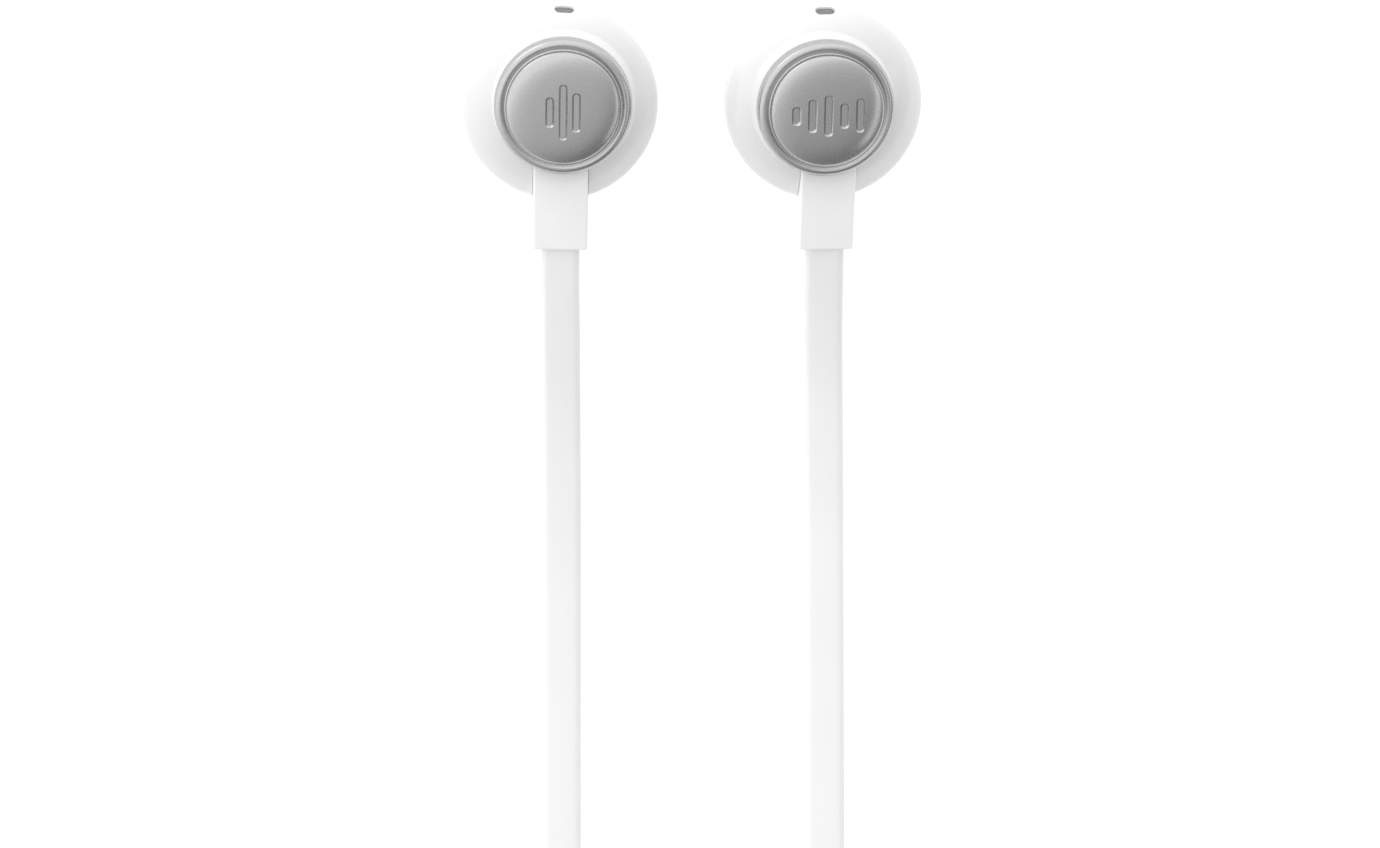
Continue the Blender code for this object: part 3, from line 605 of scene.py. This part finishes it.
def steel_mesh():
    """Woven steel gauze, with the gaps between the wires painted near black as painted shade."""
    material, tree, shader = finish_tree("woven_steel_gauze")
    wire_height_and_gap_shade = woven(tree, 0.14)
    # colour follows the wire height: the low gaps are painted near black, painted shade in the
    # openings, and the wire tops are lighter steel
    tinted(tree, shader, wire_height_and_gap_shade, (0.03, 0.03, 0.032), (0.36, 0.36, 0.365), 0.35, 0.95)
    tree.links.new(ranged(tree, noise(tree, 3000.0), 0.30, 0.45), shader.inputs["Roughness"])
    raised(tree, shader, wire_height_and_gap_shade, 0.03)
    set_sockets(shader, Metallic=0.7)
    return material


def pressed_steel():
    """Bright pressed steel."""
    material, tree, shader = finish_tree("pressed_steel")
    tinted(tree, shader, noise(tree, 900.0), (0.46, 0.46, 0.47), (0.60, 0.60, 0.61))
    tree.links.new(ranged(tree, noise(tree, 2600.0), 0.22, 0.38), shader.inputs["Roughness"])
    raised(tree, shader, noise(tree, 3000.0, 2.0, (1.0, 0.1, 1.0)), 0.004)
    set_sockets(shader, Metallic=1.0)
    return material


def grained_plastic(name, dark, light, rough, depth, **sockets):
    """Moulded plastic or film with a fine grain."""
    material, tree, shader = finish_tree(name)
    tinted(tree, shader, noise(tree, 600.0), dark, light)
    tree.links.new(ranged(tree, noise(tree, 2200.0), *rough), shader.inputs["Roughness"])
    raised(tree, shader, noise(tree, 3500.0, 2.0), depth)
    set_sockets(shader, **sockets)
    return material


def make_finishes():
    """One material for each slot of the record."""
    return {
        "gloss_white": gloss_white(),
        "soft_white": soft_white(),
        "cable_white": cable_white(),
        "satin_silver": satin_silver(),
        "steel_mesh": steel_mesh(),
        "driver_steel": pressed_steel(),
        "diaphragm_film": grained_plastic("clear_film", (0.50, 0.46, 0.38), (0.60, 0.56, 0.47),
                                          (0.18, 0.30), 0.006, IOR=1.57),
        "black_plastic": grained_plastic("black_moulded_plastic", (0.012, 0.012, 0.013),
                                         (0.028, 0.028, 0.03), (0.35, 0.55), 0.01),
        "board_green": grained_plastic("green_circuit_board", (0.01, 0.09, 0.035),
                                       (0.02, 0.15, 0.06), (0.25, 0.40), 0.01),
        "cell_foil": grained_plastic("foil_pouch", (0.50, 0.51, 0.53), (0.62, 0.63, 0.65),
                                     (0.30, 0.45), 0.03, Metallic=0.8),
        "clear_plastic": grained_plastic("frosted_light_pipe", (0.72, 0.76, 0.80),
                                         (0.82, 0.85, 0.88), (0.20, 0.35), 0.005, IOR=1.49),
    }


# ------------------------------------------------------------------ ear buds

def bud_matrix(side):
    """Where a bud's own frame stands."""
    turn = Euler([math.radians(angle) for angle in BUD_TURN[side]])
    return Matrix.Translation(Vector(BUD_CENTRE[side]) * MM) @ turn.to_matrix().to_4x4()


def curved(points, parts=5):
    """(r, z, 0) corners on a smooth curve through (r, z) points."""
    spots = [Vector((r, 0.0, z)) for r, z in points]
    ends = [2 * spots[0] - spots[1], *spots, 2 * spots[-1] - spots[-2]]
    made = []
    for index in range(len(spots) - 1):
        a, b, c, d = ends[index:index + 4]
        for part in range(parts):
            t = part / parts
            spot = between(a, b, c, d, t)
            made.append((spot.x, spot.z, 0.0))
    made.append((*points[-1], 0.0))
    return made


def pillow_height(radius):
    """Height of the cap's pillow disc at a radius."""
    share = radius / DISC_R
    return CROWN - PILLOW_DROP[0] * share ** 2 - PILLOW_DROP[1] * share ** 6


def mark_bars(heights, width, pitch):
    """Upright bars of a sound-level mark with sloping walls, as cutters."""
    bars = []
    flare = 2 * MARK_WALL * (1 + MARK_ABOVE / MARK_DEPTH)
    for index, wire_height_and_gap_shade in enumerate(heights):
        x = (index - (len(heights) - 1) / 2) * pitch
        surface = pillow_height(abs(x))
        floor_size = (width - 2 * MARK_WALL, wire_height_and_gap_shade - 2 * MARK_WALL)
        bar = slab("mark_bar", box_corners(*floor_size, floor_size[0] / 2 - 0.01),
                   surface - MARK_DEPTH, surface + MARK_ABOVE, 8)
        choose(bar, lambda spot: spot.z > surface * MM)
        bpy.ops.transform.resize(value=(1 + flare / floor_size[0], 1 + flare / floor_size[1], 1))
        bpy.ops.object.mode_set(mode="OBJECT")
        bars.append(moved(bar, x, MARK_CENTRE_Y))
    return bars


def rear_cap(side):
    """Satin cap: pillow disc in a rounded rim, a lip into the collar and a debossed mark."""
    disc = [(step * DISC_STEP, pillow_height(step * DISC_STEP)) for step in range(DISC_STEPS)]
    lip = [(CAP_R, 3.6, 0.14), (5.3, 3.6, 0.0), (5.3, 3.05, 0.1), (4.6, 3.05, 0.1),
           (4.6, 4.5, 0.1), (4.2, 4.9, 0.0), (0.0, 4.9, 0.0)]
    top = [(radius, wire_height_and_gap_shade, 0.0) for radius, wire_height_and_gap_shade in disc[:-1]]
    edge = curved(disc[-1:] + DISC_EDGE + RIM, 4)
    cap = spun(f"{side}_cap", top + edge + lip, closed=False)
    cut(cap, *mark_bars(*MARKS[side]))
    centre = COLLAR_CENTRE[side]
    notch_x = RELIEF_X[side] - centre[0]
    notch = slab("cap_notch", box_corners(RELIEF_WIDTH + 0.3, 4.0, 0.0, (notch_x, -5.6)),
                 2.9, 3.62)
    cut(cap, notch)
    return moved(cap, *centre)


def relief_matrix(side):
    """The strain relief's own frame: its -Y runs out along the cable."""
    slope = math.atan2(RELIEF_START[1] - RELIEF_END[1], RELIEF_START[0] - RELIEF_END[0])
    start = Vector((RELIEF_X[side], *RELIEF_START)) * MM
    return Matrix.Translation(start) @ Matrix.Rotation(slope, 4, "X")


def vent_plug(side, width, wire_height_and_gap_shade):
    """A stadium bar that runs out through the dome at the vent."""
    bar = slab("vent_bar", box_corners(width, wire_height_and_gap_shade, wire_height_and_gap_shade / 2 - 0.01), 6.8, 9.4, 10)
    middle = Matrix.Translation(Vector((VENT_X[side], 0.0, VENT_Z)) * MM)
    return place(bar, middle @ Matrix.Rotation(-math.pi / 2, 4, "X"))


def rear_shell(side):
    """Dome wall with the collar round the cap, the notch for the relief and the vent slot."""
    dome = arc((0.0, 0.0), (DOME_R, DOME_REAR), 66.0, 0.0, 60)
    inside = arc((0.0, 0.0), (DOME_R - 0.9, DOME_REAR - 0.9), 0.0, 63.0, 20)
    shell = spun(f"{side}_dome", dome + [(DOME_R, -0.35, 0.05), (DOME_R - 0.9, -0.35, 0.0)]
                 + inside)
    collar = spun("collar", [(5.3, COLLAR_TOP, 0.0), (5.98, COLLAR_TOP, 0.1), (6.28, 2.7, 0.0),
                             (6.6, 1.8, 0.0), (5.3, 1.8, 0.0)])
    add(shell, moved(collar, *COLLAR_CENTRE[side]))
    bore = slab("collar_bore", ring_corners(5.6, STEPS, COLLAR_CENTRE[side]), -1.0, 5.0)
    notch = slab("relief_notch", box_corners(RELIEF_WIDTH + 0.06, 12.0, 0.0, (0.0, -6.0)),
                 -RELIEF_THICK / 2 - 0.03, 4.0)
    return cut(shell, bore, place(notch, relief_matrix(side)), vent_plug(side, 1.7, 0.9))


def vent_gauze(side):
    """Gauze that closes the vent slot just under the dome's surface."""
    outer = arc((0.0, 0.0), (DOME_R - 0.16, DOME_REAR - 0.16), 60.0, 0.0, 50)
    inner = arc((0.0, 0.0), (DOME_R - 0.34, DOME_REAR - 0.34), 0.0, 60.0, 50)
    gauze = vent_plug(side, 1.69, 0.89)
    combine(gauze, spun("gauze_layer", outer + inner), "INTERSECT")
    gauze.name = f"{side}_vent_gauze"
    return gauze


def shape_outlet(item):
    """Squash and shift the front towards the oval sound outlet."""
    for vert in item.data.vertices:
        ease = eased((-vert.co.z / MM - OUTLET_START) / OUTLET_DEPTH)
        vert.co.y = vert.co.y * (1.0 - OUTLET_SQUASH * ease) + OUTLET_SHIFT * ease * MM
    return item


def front_shell(side):
    """Bowl that faces the ear, down to the oval sound outlet."""
    outer = curved([(8.6, -0.7), (8.6, -1.2), (8.42, -2.2), (8.0, -3.3), (7.2, -4.4),
                    (6.1, -5.3), (4.9, -6.0), (3.95, -6.6), (3.5, -7.1), (3.27, -7.33)])
    inner = [(3.2, -7.4, 0.0), (3.0, -7.4, 0.05), (2.95, -7.3, 0.0), (2.95, -5.9, 0.1),
             (4.3, -5.2, 0.0), (5.5, -4.6, 0.0), (5.6, -4.25, 0.0), (6.5, -4.25, 0.0),
             (6.6, -2.6, 0.0), (7.4, -1.6, 0.0), (7.7, -0.43, 0.0), (8.6, -0.43, 0.05)]
    return shape_outlet(spun(f"{side}_front_bowl", outer + inner))


def front_grille(side):
    """Perforated steel disc across the outlet, with a rolled rim."""
    disc = spun(f"{side}_outlet_grille",
                [(0.0, -7.0, 0.0), (2.55, -7.0, 0.0), (2.75, -7.12, 0.08), (2.93, -7.0, 0.06),
                 (2.93, -6.72, 0.0), (0.0, -6.72, 0.0)], FINE_STEPS, closed=False)
    rods = []
    for row in range(-3, 4):
        for column in range(-3, 4):
            x = GRILLE_PITCH * (column + row / 2)
            y = GRILLE_PITCH * row * math.sqrt(3) / 2
            if math.hypot(x, y) < GRILLE_REACH:
                rods.append((x, y))
    punch = slab("punch", ring_corners(GRILLE_HOLE_R, 10, rods[0]), -7.6, -6.3)
    others = [slab("punch", ring_corners(GRILLE_HOLE_R, 10, spot), -7.6, -6.3)
              for spot in rods[1:]]
    deselect_all()
    for item in (punch, *others):
        item.select_set(True)
    bpy.context.view_layer.objects.active = punch
    bpy.ops.object.join()
    return shape_outlet(cut(disc, punch))


def relief_block(name, width, thick, length, taper, edge, start=0.0):
    """Soft block along -Y from its start, thinner at the cable end, with rounded edges."""
    deselect_all()
    bpy.ops.mesh.primitive_cube_add(size=1.0, location=(0, (start - length / 2) * MM, 0),
                                    scale=(width * MM, length * MM, thick * MM))
    item = bpy.context.object
    item.name = name
    bpy.ops.object.transform_apply(location=True, rotation=False, scale=True)
    choose(item, lambda spot: spot.y < (start - length * 0.75) * MM)
    bpy.ops.transform.resize(value=(taper[0], 1.0, taper[1]))
    bpy.ops.object.mode_set(mode="OBJECT")
    return soften(item, edge, 6)


def strain_relief(side):
    """Relief that leaves the bud under the cap, with its flange inside."""
    length = math.dist(RELIEF_START, RELIEF_END)
    relief = relief_block(f"{side}_relief", RELIEF_WIDTH, RELIEF_THICK, length, RELIEF_TAPER,
                          RELIEF_EDGE)
    flange = slab("relief_flange", box_corners(5.6, 0.9, 0.15, (0.0, -0.5)), -1.15, 1.15)
    return place(add(relief, flange), relief_matrix(side))


def build_buds(finishes):
    """Every piece of both buds."""
    makers = {
        "rear_cap": (rear_cap, "satin_silver"),
        "rear_shell": (rear_shell, "gloss_white"),
        "front_shell": (front_shell, "gloss_white"),
        "front_grille": (front_grille, "driver_steel"),
        "vent_mesh": (vent_gauze, "steel_mesh"),
        "strain_relief": (strain_relief, "soft_white"),
    }
    for side in SIDES:
        for node, (maker, finish) in makers.items():
            piece = place(maker(side), bud_matrix(side))
            slot = "steel_mesh" if node == "front_grille" else finish
            dress(piece, "earphones", slot, finishes[finish], f"{side}_{node}")


# ------------------------------------------------------------------ capsules

def upright(item, x=0.0, y=0.0, z=0.0):
    """Turn a plate made along Z to run along Y, with its outline's Y as its height."""
    return moved(place(item, Matrix.Rotation(math.pi / 2, 4, "X")), x, y, z)


def sideways(item, x=0.0, y=0.0, z=0.0):
    """Turn a plate made along Z to run along X, with its outline's X as its height."""
    return moved(place(item, Matrix.Rotation(math.pi / 2, 4, "Y")), x, y, z)


def case_half(name, upper):
    """Half of a capsule's case: rounded tray with a fine shut line and both cable openings."""
    half = slab(name, box_corners(CASE_WIDTH, CASE_LENGTH, CASE_CORNER), 0.0, CASE_HEIGHT, 10)
    soften(half, 1.0, 7, 60.0)
    low, high = (CASE_SPLIT + SHUT_GAP, 9.0) if upper else (-3.0, CASE_SPLIT - SHUT_GAP)
    keep = slab("case_side", box_corners(30.0, 80.0, 0.0), low, high)
    combine(half, keep, "INTERSECT")
    soften(half, 0.09, 2, 60.0)
    inside = box_corners(CASE_WIDTH - 2 * CASE_WALL, CASE_LENGTH - 2 * CASE_WALL,
                         CASE_CORNER - CASE_WALL)
    hollow = slab("case_hollow", inside, CASE_WALL, CASE_HEIGHT - CASE_WALL)
    ends = upright(slab("cable_way", box_corners(4.68, 2.68, 0.62), -40.0, 40.0),
                   0.0, 0.0, CASE_SPLIT)
    return cut(half, hollow, ends)


def port_window(grow):
    """Window in the case's outer side for the port cover, grown all round."""
    window = slab("port_window", box_corners(COVER_TALL + 2 * grow, COVER_LONG + 2 * grow,
                                             0.9 + grow), -1.1, 0.6)
    return sideways(window, CASE_WIDTH / 2, PORT_Y, CASE_SPLIT)


def grommet(name, end):
    """Cable grommet through one end of a capsule, two shallow grooves round its nose."""
    body = relief_block(name, 4.6, 2.6, 4.7, (0.88, 0.8), 0.55, 2.2)
    for groove_y in (-0.75, -1.45):
        ring = slab("groove", box_corners(8.0, 0.28, 0.0, (0.0, groove_y)), -3.0, 3.0)
        core = relief_block("groove_core", 4.28, 2.28, 4.7, (0.88, 0.8), 0.5, 2.2)
        cut(body, cut(ring, core))
    flange = slab("grommet_flange", box_corners(5.8, 0.8, 0.2, (0.0, 1.7)), -1.9, 1.9)
    add(body, flange)
    turn = Matrix.Rotation(math.pi if end > 0 else 0.0, 4, "Z")
    return moved(place(body, turn), 0.0, end * CASE_LENGTH / 2, CASE_SPLIT)


def plus_corners(reach, half, fillet, centre_y):
    """Corners of a plus sign."""
    corners = []
    for turn in range(4):
        across, up = math.cos(turn * math.pi / 2), math.sin(turn * math.pi / 2)
        for x, y, rounding in ((reach, -half, fillet), (reach, half, fillet), (half, half, 0.0)):
            corners.append((x * across - y * up, centre_y + x * up + y * across, rounding))
    return corners


def key_mark(kind, centre_y):
    """Cutter for a key's debossed plus, dot or minus."""
    outline = {"plus": plus_corners(1.2, 0.28, 0.2, centre_y),
               "minus": box_corners(2.4, 0.56, 0.2, (0.0, centre_y)),
               "dot": box_corners(1.1, 1.1, 0.54, (0.0, centre_y))}[kind]
    top = CASE_HEIGHT + KEY_PROUD
    return slab("key_mark", outline, top - KEY_MARK_DEPTH, top + 0.5, 6)


def key(name, kind, centre_y):
    """Key top with rounded edges, its flange under the case and its stem."""
    outline = box_corners(*KEY_SIZE, KEY_CORNER, (0.0, centre_y))
    top = soften(slab(name, outline, 4.65, CASE_HEIGHT + KEY_PROUD, 10), 0.35, 5, 60.0)
    cut(top, key_mark(kind, centre_y))
    flange = slab("key_flange", box_corners(KEY_SIZE[0] + 1.0, KEY_SIZE[1] + 1.0,
                                            KEY_CORNER + 0.5, (0.0, centre_y)), 4.5, 4.9)
    stem = slab("key_stem", ring_corners(0.9, 24, (0.0, centre_y)), 3.9, 4.6)
    return add(top, flange, stem)


def port_cover():
    """Soft flap over the charging socket, with a plug rib inside and a lip to lift it by."""
    flap = slab("port_flap_cover", box_corners(COVER_TALL, COVER_LONG, 0.9), -COVER_THICK, 0.0)
    soften(flap, 0.2, 4, 60.0)
    groove = slab("flap_groove", box_corners(0.35, 4.0, 0.17, (COVER_TALL / 2 - 0.75, 0.0)),
                  -0.16, 0.5)
    cut(flap, groove)
    rib = slab("flap_rib", box_corners(2.2, 7.0, 1.0), -COVER_THICK - 0.35, -COVER_THICK + 0.1)
    dent = slab("flap_dent", box_corners(1.4, 6.2, 0.6), -COVER_THICK - 0.6, -COVER_THICK - 0.05)
    add(flap, cut(rib, dent))
    return sideways(flap, CASE_WIDTH / 2, PORT_Y, CASE_SPLIT)


def light_pipe():
    """Small light pipe, flush with the case, with a lens end."""
    corners = [(0.0, 6.0, 0.0), (0.35, 5.99, 0.0), (0.6, 5.9, 0.08), (0.6, 4.9, 0.0),
               (0.95, 4.9, 0.0), (0.95, 4.4, 0.0), (0.0, 4.4, 0.0)]
    return moved(spun("light_pipe", corners, 48, closed=False), *LIGHT_PLACE)


def charging_socket():
    """Oval steel socket with its tongue, mouth outwards."""
    sleeve = slab("socket_sleeve", box_corners(3.2, 8.9, 1.55), 0.0, 6.6, 12)
    bore = slab("socket_bore", box_corners(2.6, 8.3, 1.27), 0.8, 8.0, 12)
    cut(sleeve, bore)
    tongue = slab("socket_tongue", box_corners(0.7, 6.7, 0.2), 0.4, 5.6)
    soften(tongue, 0.12, 2, 60.0)
    return sideways(add(sleeve, tongue), SOCKET_BACK, PORT_Y, CASE_SPLIT)


def build_capsules(finishes):
    """Both capsules, with everything on them that shows."""
    for prefix, side_x in (("control", CAPSULE_X), ("battery", -CAPSULE_X)):
        place_x = (side_x, CAPSULE_Y, 0.0)
        for half in ("upper", "lower"):
            case = case_half(f"{prefix}_{half}_case", half == "upper")
            if prefix == "control":
                cut(case, port_window(0.07))
                if half == "upper":
                    cut(case, *key_windows())
            dress(moved(case, *place_x), "earphones", "gloss_white", finishes["gloss_white"],
                  f"{prefix}_case_{half}")
        for node, end in ((f"{prefix}_bud_grommet", 1), (f"{prefix}_neck_grommet", -1)):
            dress(moved(grommet(f"{node}_sleeve", end), *place_x), "earphones", "soft_white",
                  finishes["soft_white"], node)
    place_x = (CAPSULE_X, CAPSULE_Y, 0.0)
    for node, body, kind, centre_y in KEYS:
        dress(moved(key(f"{node}_top", kind, centre_y), *place_x), body, "soft_white",
              finishes["soft_white"], node)
    dress(moved(port_cover(), *place_x), "port_flap", "soft_white", finishes["soft_white"],
          "port_cover")
    dress(moved(light_pipe(), *place_x), "earphones", "clear_plastic",
          finishes["clear_plastic"], "status_light_pipe")
    dress(moved(charging_socket(), *place_x), "earphones", "driver_steel",
          finishes["driver_steel"], "charging_socket")


def key_windows():
    """Openings in the control capsule's top for the keys, the microphone and the light pipe."""
    tools = [slab("key_window", box_corners(KEY_SIZE[0] + 0.24, KEY_SIZE[1] + 0.24,
                                            KEY_CORNER + 0.12, (0.0, row[3])), 4.0, 7.0, 10)
             for row in KEYS]
    tools.append(slab("microphone_hole", ring_corners(0.5, 32, MICROPHONE_PLACE), 4.5, 7.0))
    tools.append(slab("light_hole", ring_corners(0.64, 32, LIGHT_PLACE), 4.5, 7.0))
    return tools


def build_clip(finishes):
    """Open clip that holds the coil's turns together."""
    low_r, high_r = CLIP_CHANNEL
    centre_y = COIL_CENTRE[1] - (low_r + high_r) / 2
    clip = slab("coil_tie", box_corners(7.0, high_r - low_r + 2.4, 0.9, (0.0, centre_y)),
                0.0, 4.5, 8)
    soften(clip, 0.45, 5, 60.0)
    channel = spun("clip_channel", [(high_r, 3.7, 0.0), (high_r, -1.0, 0.0),
                                    (low_r - 0.4, -1.0, 0.0), (low_r - 0.4, 3.7, 0.0)])
    cut(clip, moved(channel, *COIL_CENTRE))
    dress(clip, "earphones", "soft_white", finishes["soft_white"], "coil_clip")


def finish_inner_nodes(finishes):
    """Better finishes for the solids that stay as they are inside the shells."""
    slots = {"driver_frame": "black_plastic", "driver_magnet": "driver_steel",
             "diaphragm": "diaphragm_film"}
    inner = {f"{side}_{node}": slot for side in SIDES for node, slot in slots.items()}
    inner.update({"control_board": "board_green", "protection_board": "board_green",
                  "battery_cell": "cell_foil", "microphone": "driver_steel",
                  "volume_up_switch": "black_plastic", "multifunction_switch": "black_plastic",
                  "volume_down_switch": "black_plastic"})
    for node, slot in inner.items():
        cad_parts[node].material_slots[0].material = finishes[slot]


# ------------------------------------------------------------------ studio

def build_floor():
    """Plain pale floor under everything."""
    deselect_all()
    bpy.ops.mesh.primitive_plane_add(size=6.0, location=(0.0, 0.0, -0.00005))
    floor = bpy.context.object
    floor.name = "floor"
    material, tree, shader = finish_tree("pale_floor")
    tinted(tree, shader, noise(tree, 3.0), (FLOOR_TONE - 0.01,) * 3, (FLOOR_TONE,) * 3)
    set_sockets(shader, Roughness=0.9, Specular_IOR_Level=0.1,
                Emission_Color=(1.0, 1.0, 1.0, 1.0), Emission_Strength=FLOOR_GLOW)
    floor.data.materials.append(material)


def build_world():
    """Soft white room, bright at one corner and darker towards the other."""
    world = bpy.data.worlds.new("studio")
    world.use_nodes = True
    tree = world.node_tree
    where = tree.nodes.new("ShaderNodeTexCoord")
    side = tree.nodes.new("ShaderNodeVectorMath")
    side.operation = "DOT_PRODUCT"
    side.inputs[1].default_value = BRIGHT_TO_DARK
    up = tree.nodes.new("ShaderNodeSeparateXYZ")
    tree.links.new(where.outputs["Generated"], side.inputs[0])
    tree.links.new(where.outputs["Generated"], up.inputs["Vector"])
    share = side.outputs["Value"]
    tone = None
    for (start, before), (end, after) in zip(ROOM_TONES, ROOM_TONES[1:]):
        step = eased_node(tree, share, (start, end), (0.0, after - before), "LINEAR")
        total = tree.nodes.new("ShaderNodeMath")
        total.inputs[1].default_value = ROOM_TONES[0][1]
        if tone is not None:
            tree.links.new(tone, total.inputs[1])
        tree.links.new(step, total.inputs[0])
        tone = total.outputs["Value"]
    lift = eased_node(tree, up.outputs["Z"], HORIZON_RANGE, (0.0, 1.0), "SMOOTHSTEP")
    blend = tree.nodes.new("ShaderNodeMix")
    blend.inputs["A"].default_value = ROOM_HORIZON
    tree.links.new(lift, blend.inputs["Factor"])
    tree.links.new(tone, blend.inputs["B"])
    tree.links.new(blend.outputs["Result"], tree.nodes["Background"].inputs["Color"])
    bpy.context.scene.world = world


def eased_node(tree, source, span, values, kind):
    """Pass from one value to another as a source crosses a span."""
    node = tree.nodes.new("ShaderNodeMapRange")
    node.interpolation_type = kind
    node.inputs["From Min"].default_value, node.inputs["From Max"].default_value = span
    node.inputs["To Min"].default_value, node.inputs["To Max"].default_value = values
    tree.links.new(source, node.inputs["Value"])
    return node.outputs["Result"]


def soft_box(name, place, target, size, energy):
    """Square soft light aimed at a point."""
    data = bpy.data.lights.new(name, "AREA")
    data.shape = "RECTANGLE"
    data.size, data.size_y = size
    data.energy = energy
    light = bpy.data.objects.new(name, data)
    bpy.context.scene.collection.objects.link(light)
    light.location = place
    aim = Vector(target) - Vector(place)
    light.rotation_euler = aim.to_track_quat("-Z", "Y").to_euler()


def build_studio():
    """Floor, room light and soft boxes, with plain colour management."""
    build_floor()
    build_world()
    for light in SOFT_BOXES:
        soft_box(*light)
    bpy.context.scene.view_settings.view_transform = "Standard"


# ------------------------------------------------------------------ making

build_camera()
finishes = make_finishes()
build_clip(finishes)
build_cables(finishes["cable_white"])
build_buds(finishes)
build_capsules(finishes)
finish_inner_nodes(finishes)
build_studio()
